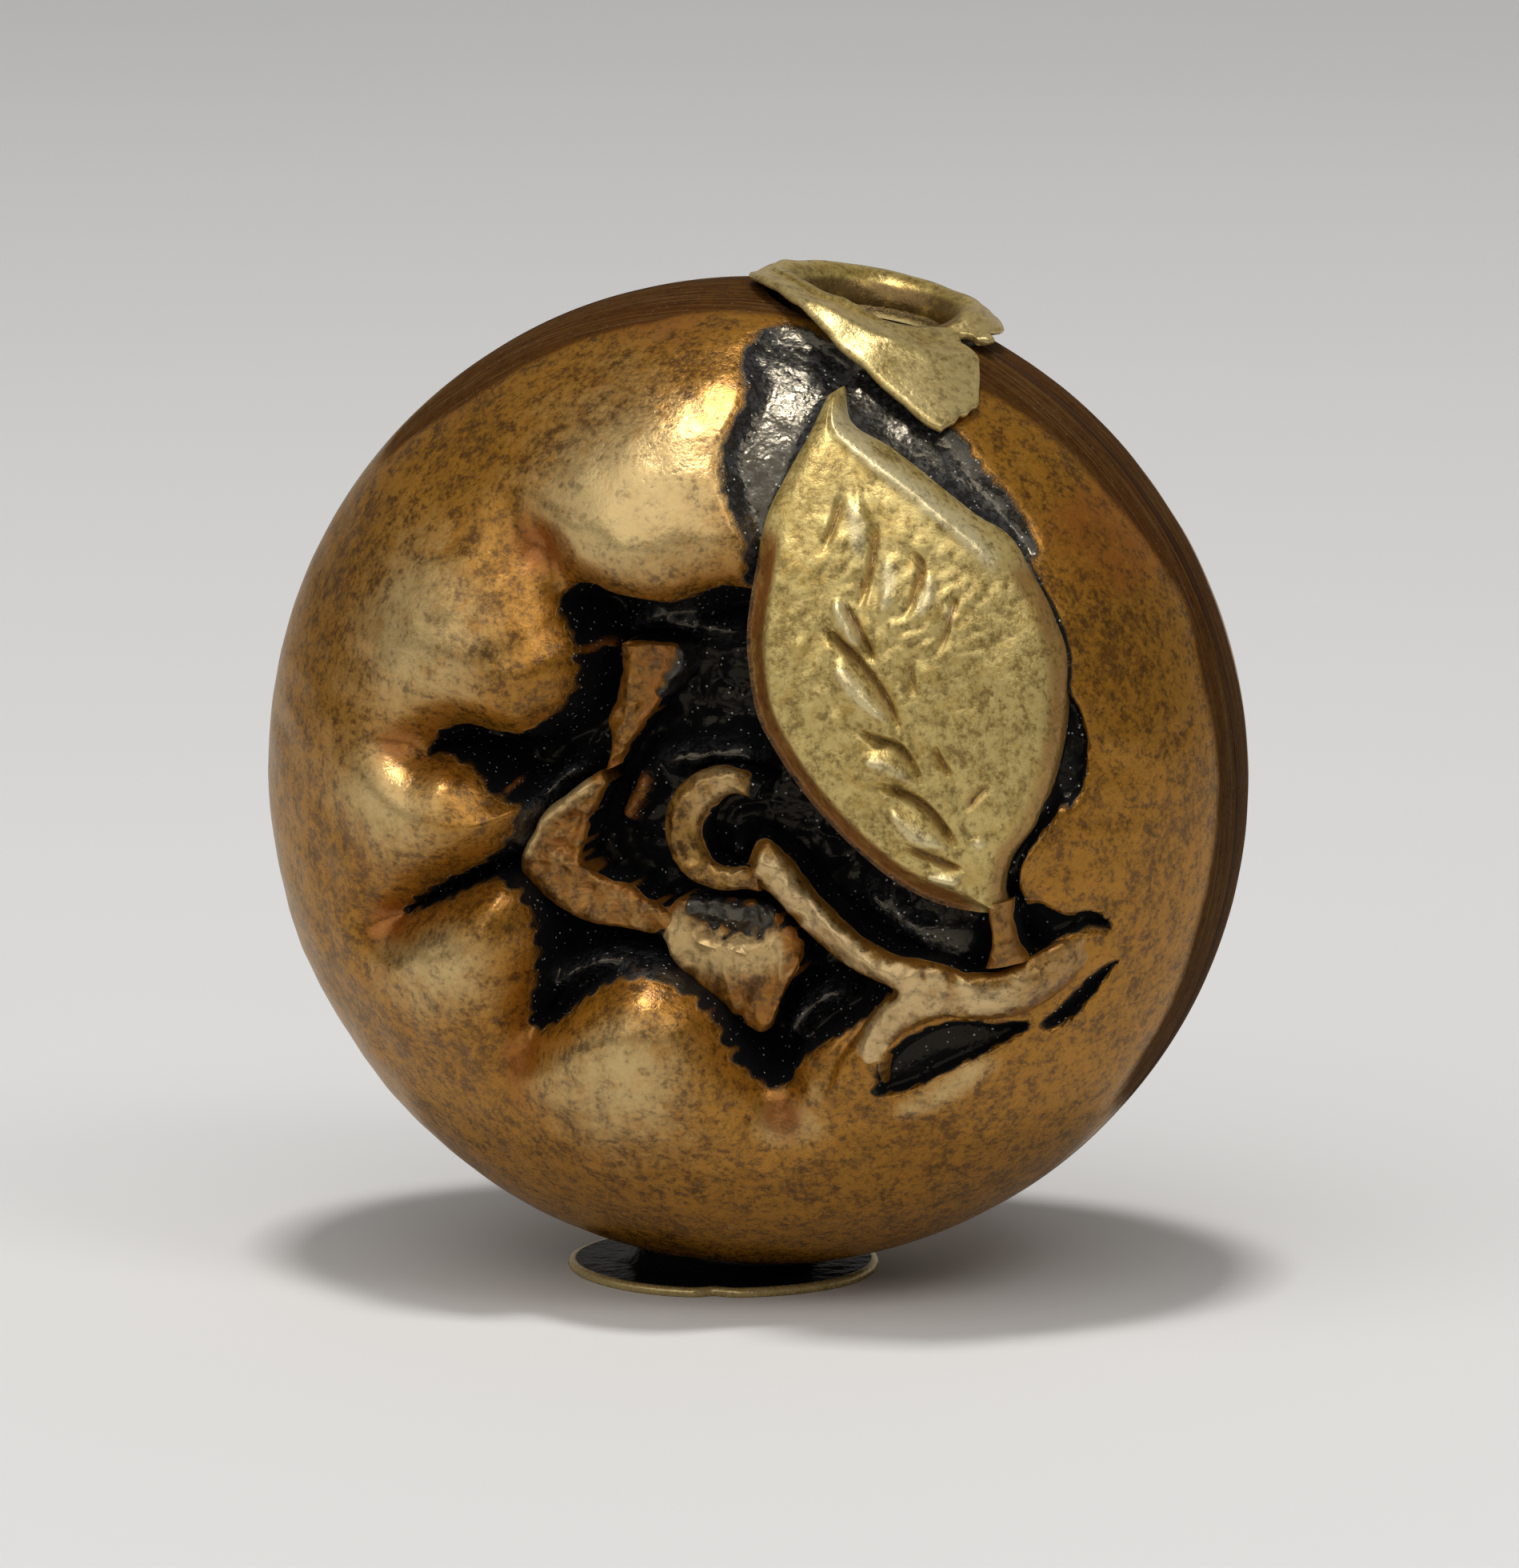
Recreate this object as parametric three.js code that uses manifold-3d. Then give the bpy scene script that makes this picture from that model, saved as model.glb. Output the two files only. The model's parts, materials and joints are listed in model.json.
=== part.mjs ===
// A hollow persimmon ojime bead: two embossed copper shells soldered at the seam round a cord tube,
// flared brass eyelets at the cord holes, and a calyx, twig and brass leaf set on the face.
// Millimetres, +Z up. The bead stands on its lower eyelet and its face looks along -Y.
import * as THREE from "three";
import { mergeVertices } from "three/addons/utils/BufferGeometryUtils.js";
import Module from "manifold-3d";

const wasm = await Module();
wasm.setup();

// Body
const beadRadius = 8.6;
const halfDepth = 6.2;
const shellWall = 0.55;
const solderWidth = 0.3;
const domeFullness = 2.4;
const swellShare = 0.01;
const swellAngleDeg = 115;

// Cord channel: the clear hole, then each sheet round it
const cordHoleDiameter = 2.6;
const eyeletSheet = 0.2;
const tubeWall = 0.25;
const slipClearance = 0.1;
const seatGap = 0.12;
const boreFootX = -0.62;
const boreHeadX = 2.1;

// Eyelets
const flareRadius = 0.55;
const neckLength = 2.2;
const upperRimRadius = 2.1;
const lowerRimRadius = 2.65;
const flapSlopeShare = 1.2;

// Pit in the face
const tubeToPitFloor = 0.9;
const pitRoll = 1.15;
const pitWallRun = 0.6;
const pitLipShare = 0.2;
const creaseDepth = 0.75;
const creaseWidth = 0.42;
const lobeSwell = 0.28;
const lobeSpread = 1.7;

// Pieces on the face
const calyxRise = 1.35;
const ringRise = 1.5;
const twigRise = 0.28;
const twigEdgeDrop = 0.35;
const leafRise = 0.42;
const leafBedDepth = 0.25;
const leafBedMargin = 0.3;
const leafPlate = 0.6;
const stalkRise = 0.2;
const pieceRoot = 0.8;

// Blossom end on the back
const furrowShare = 0.03;
const furrowCount = 4;
const dimpleDepth = 0.5;
const dimpleSpread = 1.3;
const nibHeight = 0.35;
const nibSpread = 0.45;

// One overrun serves every cut
const overrun = 1;

// Mesh counts
const faceSpokes = 66;
const faceRings = 25;
const faceHollowRings = 9;
const backSpokes = 48;
const backRings = 9;
const backHollowRings = 5;
const holeSides = 28;
const eyeletSpokes = 36;
const outlineSteps = 150;

// Edge of the pit as shares of the bead's radius, from the leaf round the lobes and back
const pitOutlineShares = [
  [0.2, 0.4], [0.153, 0.467], [0.08, 0.475], [0, 0.445], [-0.07, 0.45], [-0.13, 0.46], [-0.17, 0.47],
  [-0.24, 0.44], [-0.23, 0.39], [-0.21, 0.355], [-0.2, 0.3], [-0.22, 0.245], [-0.265, 0.2],
  [-0.33, 0.165], [-0.4, 0.165], [-0.47, 0.15], [-0.5, 0.115], [-0.43, 0.1], [-0.37, 0.04],
  [-0.325, 0.015], [-0.35, -0.045], [-0.39, -0.09], [-0.47, -0.14], [-0.54, -0.19], [-0.48, -0.175],
  [-0.39, -0.13], [-0.34, -0.137], [-0.3, -0.18], [-0.288, -0.24], [-0.293, -0.31], [-0.3, -0.4],
  [-0.265, -0.425], [-0.22, -0.388], [-0.163, -0.342], [-0.1, -0.313], [-0.04, -0.31], [0.023, -0.337],
  [0.07, -0.37], [0.102, -0.444], [0.135, -0.491], [0.19, -0.52], [0.237, -0.481], [0.302, -0.426],
  [0.377, -0.379], [0.45, -0.31], [0.52, -0.26], [0.6, -0.275], [0.66, -0.265], [0.63, -0.2],
  [0.56, -0.15], [0.47, -0.09], [0.4, -0.02], [0.33, 0.06], [0.27, 0.14], [0.225, 0.22], [0.2, 0.31],
];

// Creases between the lobes and channels beside the leaf and twig, each from its deep end outwards
const creaseShares = [
  [[-0.36, 0.1], [-0.5, 0.13], [-0.64, 0.15]],
  [[-0.4, -0.12], [-0.53, -0.19], [-0.64, -0.26]],
  [[-0.29, -0.36], [-0.32, -0.45], [-0.36, -0.56]],
  [[0.13, -0.44], [0.2, -0.53], [0.28, -0.6]],
  [[-0.2, 0.42], [-0.3, 0.53], [-0.38, 0.63]],
  [[0.14, 0.44], [0.13, 0.62], [0.17, 0.75], [0.2, 0.88]],
  [[0.43, -0.5], [0.55, -0.41], [0.67, -0.38], [0.84, -0.28]],
  [[0.67, -0.17], [0.75, -0.18], [0.83, -0.2]],
];

// Crests of the five lobes
const lobeCrestShares = [[-0.08, 0.63], [-0.49, 0.35], [-0.57, 0.035], [-0.465, -0.26], [-0.105, -0.46]];

// Edges of the strips on the face: left x, left z, right x, right z, along each strip
const leafRailShares = [
  [0.651, -0.149, 0.669, -0.137], [0.605, -0.151, 0.663, -0.099], [0.534, -0.131, 0.674, -0.041],
  [0.463, -0.091, 0.715, 0.02], [0.402, -0.041, 0.741, 0.091], [0.341, 0.02, 0.756, 0.172],
  [0.28, 0.091, 0.76, 0.243], [0.23, 0.162, 0.756, 0.344], [0.19, 0.233, 0.726, 0.424],
  [0.17, 0.314, 0.685, 0.495], [0.159, 0.395, 0.628, 0.57], [0.165, 0.5, 0.564, 0.616],
  [0.185, 0.616, 0.483, 0.678], [0.209, 0.687, 0.392, 0.738], [0.241, 0.769, 0.31, 0.788],
  [0.26, 0.837, 0.272, 0.849],
];
const stalkRailShares = [
  [0.635, -0.168, 0.68, -0.162], [0.636, -0.2, 0.682, -0.2], [0.632, -0.235, 0.69, -0.23],
];
const twigRailShares = [
  [0.16, -0.023, 0.13, -0.116], [0.219, -0.072, 0.18, -0.145], [0.266, -0.134, 0.221, -0.188],
  [0.326, -0.18, 0.277, -0.236], [0.39, -0.215, 0.351, -0.277], [0.459, -0.235, 0.442, -0.302],
  [0.535, -0.25, 0.517, -0.349], [0.587, -0.271, 0.584, -0.37], [0.655, -0.274, 0.665, -0.372],
  [0.709, -0.244, 0.715, -0.355], [0.756, -0.216, 0.767, -0.308], [0.814, -0.207, 0.826, -0.27],
];
const forkRailShares = [
  [0.5, -0.28, 0.56, -0.34], [0.448, -0.305, 0.514, -0.366], [0.402, -0.344, 0.465, -0.401],
  [0.362, -0.405, 0.435, -0.448], [0.341, -0.465, 0.419, -0.488], [0.341, -0.526, 0.412, -0.515],
];
const ringRailShares = [
  [0.163, 0.087, 0.145, 0.041], [0.083, 0.11, 0.099, 0.052], [0.014, 0.086, 0.07, 0.029],
  [-0.028, 0.035, 0.052, 0.006], [-0.037, -0.024, 0.047, -0.024], [-0.021, -0.079, 0.055, -0.064],
  [0.028, -0.127, 0.078, -0.086], [0.083, -0.13, 0.108, -0.084],
];
const upperSepalRailShares = [
  [-0.171, 0.1, -0.133, 0.108], [-0.16, 0.14, -0.116, 0.141], [-0.163, 0.188, -0.084, 0.181],
  [-0.145, 0.238, -0.055, 0.227], [-0.136, 0.285, -0.026, 0.27], [-0.131, 0.34, 0.007, 0.326],
];
const leftSepalRailShares = [
  [-0.177, 0.084, -0.16, 0.049], [-0.233, 0.044, -0.18, 0.014], [-0.28, 0.01, -0.195, -0.023],
  [-0.308, -0.037, -0.203, -0.058], [-0.342, -0.11, -0.215, -0.092], [-0.308, -0.153, -0.186, -0.114],
  [-0.266, -0.188, -0.151, -0.128], [-0.205, -0.219, -0.116, -0.14], [-0.137, -0.219, -0.083, -0.163],
  [-0.078, -0.233, -0.058, -0.194],
];
const lowerSepalRailShares = [
  [-0.04, -0.176, -0.05, -0.238], [0.006, -0.174, -0.017, -0.293], [0.052, -0.174, 0.029, -0.343],
  [0.105, -0.165, 0.081, -0.378], [0.151, -0.165, 0.134, -0.409], [0.198, -0.195, 0.169, -0.407],
  [0.23, -0.233, 0.203, -0.337], [0.242, -0.25, 0.23, -0.285],
];

// Places across a strip, and the share of its rise at each
const leafAcrossShares = [0, 0.1, 0.32, 0.52, 0.7, 0.9, 1];
const leafCrownShares = [0.35, 0.85, 1, 0.8, 1, 0.8, 0.35];
const ridgeAcrossShares = [0, 0.25, 0.5, 0.75, 1];
const ridgeCrownShares = [0.55, 0.9, 1, 0.88, 0.5];

// Where along x the twig climbs out of the pit on to the body
const twigClimbStartShare = 0.25;
const twigClimbEndShare = 0.56;

// Reach of the upper eyelet's torn flap round the hole: angle, then share of the rim's radius
const flapReachShares = [
  [-165, 1], [-146, 1.04], [-113, 1.16], [-89, 1.34], [-69, 1.6], [-55, 1.88], [-42, 1.76],
  [-32, 1.5], [-24, 1.1], [-12, 1.1], [0, 1],
];

// Radii that follow from the cord channel
const holeRadius = cordHoleDiameter / 2;
const neckRadius = holeRadius + eyeletSheet;
const tubeInnerRadius = neckRadius + slipClearance;
const tubeOuterRadius = tubeInnerRadius + tubeWall;
const shellHoleRadius = tubeOuterRadius + slipClearance;
const shellBase = solderWidth / 2;
const domeDepth = halfDepth - shellBase;
const pitFloor = tubeOuterRadius + tubeToPitFloor + shellWall - shellBase;

const radians = THREE.MathUtils.degToRad;
const mix = THREE.MathUtils.lerp;
const smooth = THREE.MathUtils.smoothstep;

// Seam outline of the bead, a circle that swells a little towards one side
function rimAt(angle) {
  return beadRadius * (1 + swellShare * Math.cos(angle - radians(swellAngleDeg)));
}

// Height of a plain dome over the seam plane
function domeHeight(x, z, loss) {
  const reach = Math.hypot(x, z) / (rimAt(Math.atan2(z, x)) - loss);
  return (domeDepth - loss) * Math.sqrt(Math.max(0, 1 - Math.pow(reach, domeFullness)));
}

// Shares of the bead's radius as points on the face
function facePoints(shares) {
  return shares.map(([x, z]) => new THREE.Vector2(x * beadRadius, z * beadRadius));
}

const pitOutline = new THREE.SplineCurve([...facePoints(pitOutlineShares), facePoints(pitOutlineShares)[0]]);
const pitEdge = pitOutline.getPoints(outlineSteps);
const leafEdge = leafOutline();
const creases = creaseShares.map(facePoints);
const lobeCrests = facePoints(lobeCrestShares);

// The leaf's edge as one closed run of points
function leafOutline() {
  const left = leafRailShares.map(([x, z]) => [x, z]);
  const right = leafRailShares.map((row) => [row[2], row[3]]).reverse();
  const run = facePoints([...left, ...right]);
  return [...run, run[0]];
}

// Nearest distance from a point to a run of points, and how far along the run it lies, from 0 to 1
function nearest(run, x, z) {
  let best = Infinity;
  let along = 0;
  for (let i = 0; i + 1 < run.length; i++) {
    const a = run[i];
    const edge = run[i + 1].clone().sub(a);
    const span = Math.max(edge.lengthSq(), Number.EPSILON);
    const t = THREE.MathUtils.clamp(((x - a.x) * edge.x + (z - a.y) * edge.y) / span, 0, 1);
    const gap = Math.hypot(x - a.x - t * edge.x, z - a.y - t * edge.y);
    if (gap < best) {
      best = gap;
      along = (i + t) / (run.length - 1);
    }
  }
  return { gap: best, along };
}

// Distance inside a closed run of points, negative outside it
function inside(run, x, z) {
  let within = false;
  for (let i = 0; i + 1 < run.length; i++) {
    const a = run[i];
    const b = run[i + 1];
    if (a.y > z !== b.y > z && x < ((b.x - a.x) * (z - a.y)) / (b.y - a.y) + a.x) within = !within;
  }
  const { gap } = nearest(run, x, z);
  return within ? gap : -gap;
}

// Share of the way down into the pit: a rolled lip outside its edge, then a steep wall inside
function pitShare(depthInside) {
  if (depthInside <= -pitRoll) return 0;
  if (depthInside <= 0) return pitLipShare * Math.pow(1 + depthInside / pitRoll, 2);
  return pitLipShare + (1 - pitLipShare) * smooth(depthInside, 0, pitWallRun);
}

// Depth of the creases at a point, widened by the wall for the shell's inner face
function creaseDrop(x, z, grow) {
  let drop = 0;
  for (const run of creases) {
    const { gap, along } = nearest(run, x, z);
    const fade = 1 - along * along;
    drop = Math.max(drop, creaseDepth * fade * Math.exp(-Math.pow(gap / (creaseWidth + grow), 2)));
  }
  return drop;
}

// Swelling of the lobes at a point
function lobeRise(x, z) {
  const rises = lobeCrests.map((c) => Math.exp(-Math.pow(Math.hypot(x - c.x, z - c.y) / lobeSpread, 2)));
  return lobeSwell * Math.max(...rises);
}

// Outer height of the face over the front shell's rim
function faceHeight(x, z) {
  const dome = domeHeight(x, z, 0);
  const bed = smooth(inside(leafEdge, x, z), -2 * leafBedMargin, -leafBedMargin);
  const lobes = dome + lobeRise(x, z) - Math.min(creaseDrop(x, z, 0), dome);
  const body = mix(lobes, dome - Math.min(leafBedDepth, dome), bed);
  return mix(body, Math.min(pitFloor, body), pitShare(inside(pitEdge, x, z)));
}

// Inner height of the face, one wall below the outer one
function faceInnerHeight(x, z) {
  const dome = domeHeight(x, z, shellWall);
  const body = Math.max(0, dome - Math.min(creaseDrop(x, z, shellWall), dome));
  const floor = pitFloor - shellWall;
  return mix(body, Math.min(floor, body), pitShare(inside(pitEdge, x, z) + shellWall));
}

// Height of the back: four soft lobes round a dimple with a small nib
function backHeight(x, z, loss) {
  const reach = Math.hypot(x, z) / beadRadius;
  const lobes = furrowShare * Math.cos(furrowCount * Math.atan2(z, x)) * reach * (1 - reach);
  const dimple = dimpleDepth * Math.exp(-Math.pow(Math.hypot(x, z) / dimpleSpread, 2));
  const nib = nibHeight * Math.exp(-Math.pow(Math.hypot(x, z) / nibSpread, 2));
  const dome = domeHeight(x, z, loss);
  return Math.max(0, dome * (1 + furrowCount * lobes) - dimple + (loss > 0 ? 0 : nib));
}

// A BufferGeometry with its faces turned outwards
function closedGeometry(positions, indices) {
  let volume = 0;
  for (let i = 0; i < indices.length; i += 3) {
    const [a, b, c] = [0, 1, 2].map((k) => new THREE.Vector3().fromArray(positions, 3 * indices[i + k]));
    volume += a.dot(b.cross(c));
  }
  const turned = indices.slice();
  if (volume < 0) turned.reverse();
  return new THREE.BufferGeometry()
    .setAttribute("position", new THREE.Float32BufferAttribute(positions, 3))
    .setIndex(turned);
}

// A closed dome on one side of the seam plane: side is -1 for the face and 1 for the back
function domeGeometry({ side, base, loss, skirt, height, spokes, rings }) {
  const positions = [0, side * (base + height(0, 0)), 0];
  const indices = [];
  const levels = skirt > 0 ? rings + 1 : rings;
  for (let level = 1; level <= levels; level++) {
    for (let spoke = 0; spoke < spokes; spoke++) {
      const angle = (2 * Math.PI * spoke) / spokes;
      const share = level >= rings ? 1 : Math.sin((Math.PI * level) / (2 * rings));
      const radius = (rimAt(angle) - loss) * share;
      const x = radius * Math.cos(angle);
      const z = radius * Math.sin(angle);
      const rise = level < rings ? height(x, z) : level === rings ? 0 : -skirt;
      positions.push(x, side * (base + rise), z);
    }
  }
  const at = (level, spoke) => (level === 0 ? 0 : 1 + (level - 1) * spokes + (spoke % spokes));
  for (let spoke = 0; spoke < spokes; spoke++) {
    indices.push(0, at(1, spoke), at(1, spoke + 1));
    for (let level = 1; level < levels; level++) {
      indices.push(at(level, spoke), at(level + 1, spoke), at(level + 1, spoke + 1));
      indices.push(at(level, spoke), at(level + 1, spoke + 1), at(level, spoke + 1));
    }
  }
  const middle = positions.length / 3;
  positions.push(0, side * (base - skirt), 0);
  for (let spoke = 0; spoke < spokes; spoke++) {
    indices.push(middle, at(levels, spoke + 1), at(levels, spoke));
  }
  return closedGeometry(positions, indices);
}

// A closed strip on the face between two edges, with its top and bottom heights given by functions
function stripGeometry({ rails, across, crown, top, bottom }) {
  const positions = [];
  const indices = [];
  const count = across.length;
  for (const [leftX, leftZ, rightX, rightZ] of rails) {
    for (const height of [top, bottom]) {
      across.forEach((share, k) => {
        const x = mix(leftX, rightX, share) * beadRadius;
        const z = mix(leftZ, rightZ, share) * beadRadius;
        positions.push(x, -(shellBase + height(x, z, crown[k])), z);
      });
    }
  }
  const at = (row, layer, k) => (2 * row + layer) * count + k;
  const quad = (a, b, c, d) => indices.push(a, b, c, a, c, d);
  const last = rails.length - 1;
  for (let k = 0; k + 1 < count; k++) {
    quad(at(0, 0, k), at(0, 0, k + 1), at(0, 1, k + 1), at(0, 1, k));
    quad(at(last, 0, k), at(last, 1, k), at(last, 1, k + 1), at(last, 0, k + 1));
  }
  for (let row = 0; row < last; row++) {
    for (let k = 0; k + 1 < count; k++) {
      quad(at(row, 0, k), at(row + 1, 0, k), at(row + 1, 0, k + 1), at(row, 0, k + 1));
      quad(at(row, 1, k), at(row, 1, k + 1), at(row + 1, 1, k + 1), at(row + 1, 1, k));
    }
    quad(at(row, 0, 0), at(row, 1, 0), at(row + 1, 1, 0), at(row + 1, 0, 0));
    const k = count - 1;
    quad(at(row, 0, k), at(row + 1, 0, k), at(row + 1, 1, k), at(row, 1, k));
  }
  return closedGeometry(positions, indices);
}

// A three.js geometry as a solid that can be cut and joined
function solidOf(geometry) {
  const bare = geometry.clone();
  bare.deleteAttribute("normal");
  bare.deleteAttribute("uv");
  const merged = mergeVertices(bare);
  return new wasm.Manifold(
    new wasm.Mesh({
      numProp: 3,
      vertProperties: new Float32Array(merged.attributes.position.array),
      triVerts: new Uint32Array(merged.index.array),
    }),
  );
}

// A solid back as a three.js geometry
function geometryOf(solid) {
  const { vertProperties, triVerts } = solid.getMesh();
  const geometry = new THREE.BufferGeometry()
    .setAttribute("position", new THREE.BufferAttribute(vertProperties, 3))
    .setIndex(new THREE.BufferAttribute(triVerts, 1));
  geometry.computeVertexNormals();
  return geometry;
}

// The bore's line: its foot and head on the seam outline, and the way up it
const boreFoot = new THREE.Vector3(boreFootX, 0, -Math.sqrt(beadRadius ** 2 - boreFootX ** 2));
const boreHead = new THREE.Vector3(boreHeadX, 0, Math.sqrt(beadRadius ** 2 - boreHeadX ** 2));
const boreUp = boreHead.clone().sub(boreFoot).normalize();
const across = new THREE.Vector3(0, 1, 0);
const down = new THREE.Vector3(0, 0, -1);

// The way out of the upper hole, half way between the bore and the body's own surface there
const headNormal = boreUp.clone().add(boreHead.clone().normalize()).normalize();

// How far out along a normal the body's surface lies, from a centre and an offset across the normal
function surfaceAlong(centre, offset, normal) {
  let low = -halfDepth;
  let high = halfDepth;
  while (high - low > slipClearance / outlineSteps) {
    const t = (low + high) / 2;
    const p = centre.clone().add(offset).addScaledVector(normal, t);
    const height = p.y < 0 ? faceHeight(p.x, p.z) : domeHeight(p.x, p.z, 0);
    if (Math.hypot(p.x, p.z) < rimAt(Math.atan2(p.z, p.x)) && Math.abs(p.y) < shellBase + height) low = t;
    else high = t;
  }
  return high;
}

// Centre of an eyelet's rim face: its sheet rests just clear of the shell round the hole
function rimCentre(mouth, normal) {
  const side = across.clone().cross(normal);
  const rises = [-1, 1].map((s) => {
    const offset = side.clone().multiplyScalar(s * shellHoleRadius);
    return surfaceAlong(mouth, offset, normal);
  });
  return mouth.clone().addScaledVector(normal, Math.max(...rises) + seatGap + eyeletSheet);
}

const footCentre = rimCentre(boreFoot, down);
const headCentre = rimCentre(boreHead, headNormal);
const standingHeight = -footCentre.z;

// Rows of an eyelet's sheet from the neck's inside, over the flare to the edge, and back underneath.
// Each row has a radius, a height under the rim face, how far it has turned to the rim's plane, and reach.
function sheetRows() {
  const inner = { r: holeRadius, f: flareRadius };
  const outer = { r: neckRadius, f: flareRadius - eyeletSheet };
  const arc = ({ r, f }, turn) => ({
    radius: r + f * (1 - Math.cos((turn * Math.PI) / 2)),
    height: -flareRadius + f * Math.sin((turn * Math.PI) / 2),
    turn,
    reach: 0,
  });
  const brim = (reach, height) => ({ radius: holeRadius + flareRadius, height, turn: 1, reach });
  const turns = [0, 1 / 3, 2 / 3, 1];
  const reaches = [1 / 3, 2 / 3, 1];
  return [
    { radius: inner.r, height: -neckLength, turn: 0, reach: 0 },
    ...turns.map((turn) => arc(inner, turn)),
    ...reaches.map((reach) => brim(reach, 0)),
    ...reaches.toReversed().map((reach) => brim(reach, -eyeletSheet)),
    ...turns.toReversed().map((turn) => arc(outer, turn)),
    { radius: outer.r, height: -neckLength, turn: 0, reach: 0 },
  ];
}

// A flared eyelet: a neck down the bore and a rim on the body, whose edge lies at reachAt(angle)
function eyeletGeometry({ centre, bore, normal, rimRadius, reachAt }) {
  const rows = sheetRows();
  const neckSide = across.clone().cross(bore);
  const rimSide = across.clone().cross(normal);
  const positions = [];
  for (let spoke = 0; spoke < eyeletSpokes; spoke++) {
    const angle = (2 * Math.PI * spoke) / eyeletSpokes;
    for (const row of rows) {
      const radius = mix(row.radius, reachAt(angle), row.reach);
      const rimWay = rimSide.clone().multiplyScalar(Math.cos(angle)).addScaledVector(across, Math.sin(angle));
      const neckWay = neckSide.clone().multiplyScalar(Math.cos(angle)).addScaledVector(across, Math.sin(angle));
      let height = row.height;
      if (radius > rimRadius) {
        const bent = row.height - (radius - rimRadius) * flapSlopeShare;
        const seat = surfaceAlong(centre, rimWay.clone().multiplyScalar(radius), normal);
        height = Math.max(bent, seat + seatGap + eyeletSheet + row.height);
      }
      const onRim = centre.clone().addScaledVector(rimWay, radius).addScaledVector(normal, height);
      const onNeck = centre.clone().addScaledVector(neckWay, radius).addScaledVector(bore, height);
      positions.push(...onNeck.lerp(onRim, row.turn).toArray());
    }
  }
  const indices = [];
  const at = (spoke, row) => (spoke % eyeletSpokes) * rows.length + (row % rows.length);
  for (let spoke = 0; spoke < eyeletSpokes; spoke++) {
    for (let row = 0; row < rows.length; row++) {
      indices.push(at(spoke, row), at(spoke + 1, row), at(spoke + 1, row + 1));
      indices.push(at(spoke, row), at(spoke + 1, row + 1), at(spoke, row + 1));
    }
  }
  return closedGeometry(positions, indices);
}

// The flap's reach at an angle round the upper hole
function flapReach(angle) {
  const degrees = THREE.MathUtils.radToDeg(angle > Math.PI ? angle - 2 * Math.PI : angle);
  const next = flapReachShares.findIndex(([at]) => at >= degrees);
  if (next < 1) return upperRimRadius;
  const [fromAngle, fromShare] = flapReachShares[next - 1];
  const [toAngle, toShare] = flapReachShares[next];
  return upperRimRadius * mix(fromShare, toShare, (degrees - fromAngle) / (toAngle - fromAngle));
}

// A round bar along the bore
function boreBar(radius, from, to, sides) {
  const length = to.distanceTo(from);
  const bar = new THREE.CylinderGeometry(radius, radius, length, sides);
  bar.applyQuaternion(new THREE.Quaternion().setFromUnitVectors(across, boreUp));
  const middle = from.clone().add(to).multiplyScalar(1 / 2);
  return bar.translate(middle.x, middle.y, middle.z);
}

// Cord tube: a ring swept along the bore, its ends cut parallel to the rims just under their flares
function tubeGeometry() {
  const slack = flareRadius - eyeletSheet;
  const flareClear = Math.sqrt(slack ** 2 - Math.max(0, slack - slipClearance) ** 2);
  const sink = flareRadius - flareClear + seatGap;
  const ends = [
    { centre: footCentre.clone().addScaledVector(down, -sink), normal: down },
    { centre: headCentre.clone().addScaledVector(headNormal, -sink), normal: headNormal },
  ];
  const side = across.clone().cross(boreUp);
  const positions = [];
  for (let spoke = 0; spoke < holeSides; spoke++) {
    const angle = (2 * Math.PI * spoke) / holeSides;
    const way = side.clone().multiplyScalar(Math.cos(angle)).addScaledVector(across, Math.sin(angle));
    for (const [radius, end] of [[tubeInnerRadius, 0], [tubeInnerRadius, 1], [tubeOuterRadius, 1], [tubeOuterRadius, 0]]) {
      const { centre, normal } = ends[end];
      const start = boreFoot.clone().addScaledVector(way, radius);
      const t = centre.clone().sub(start).dot(normal) / boreUp.dot(normal);
      positions.push(...start.addScaledVector(boreUp, t).toArray());
    }
  }
  const indices = [];
  const at = (spoke, corner) => (spoke % holeSides) * 4 + (corner % 4);
  for (let spoke = 0; spoke < holeSides; spoke++) {
    for (let corner = 0; corner < 4; corner++) {
      indices.push(at(spoke, corner), at(spoke + 1, corner), at(spoke + 1, corner + 1));
      indices.push(at(spoke, corner), at(spoke + 1, corner + 1), at(spoke, corner + 1));
    }
  }
  return closedGeometry(positions, indices);
}

// Solid of the hole through both shells and the seam
const holeFrom = boreFoot.clone().addScaledVector(boreUp, -overrun);
const holeTo = boreHead.clone().addScaledVector(boreUp, overrun);
const hole = solidOf(boreBar(shellHoleRadius, holeFrom, holeTo, holeSides));

// The face as a full block, and the same block one seat gap prouder, which seats every piece on it
const faceBlock = domeGeometry({
  side: -1, base: shellBase, loss: 0, skirt: 0, height: faceHeight, spokes: faceSpokes, rings: faceRings,
});
const faceSeat = solidOf(faceBlock.clone().translate(0, -seatGap, 0));

// Front shell: the face block less its hollow and the cord hole
function frontShell() {
  const hollow = domeGeometry({
    side: -1, base: shellBase, loss: shellWall, skirt: overrun,
    height: faceInnerHeight, spokes: faceSpokes, rings: faceHollowRings,
  });
  return geometryOf(solidOf(faceBlock).subtract(solidOf(hollow)).subtract(hole));
}

// Back shell with its blossom end
function backShell() {
  const block = domeGeometry({
    side: 1, base: shellBase, loss: 0, skirt: 0,
    height: (x, z) => backHeight(x, z, 0), spokes: backSpokes, rings: backRings,
  });
  const hollow = domeGeometry({
    side: 1, base: shellBase, loss: shellWall, skirt: overrun,
    height: (x, z) => backHeight(x, z, shellWall), spokes: backSpokes, rings: backHollowRings,
  });
  return geometryOf(solidOf(block).subtract(solidOf(hollow)).subtract(hole));
}

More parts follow.
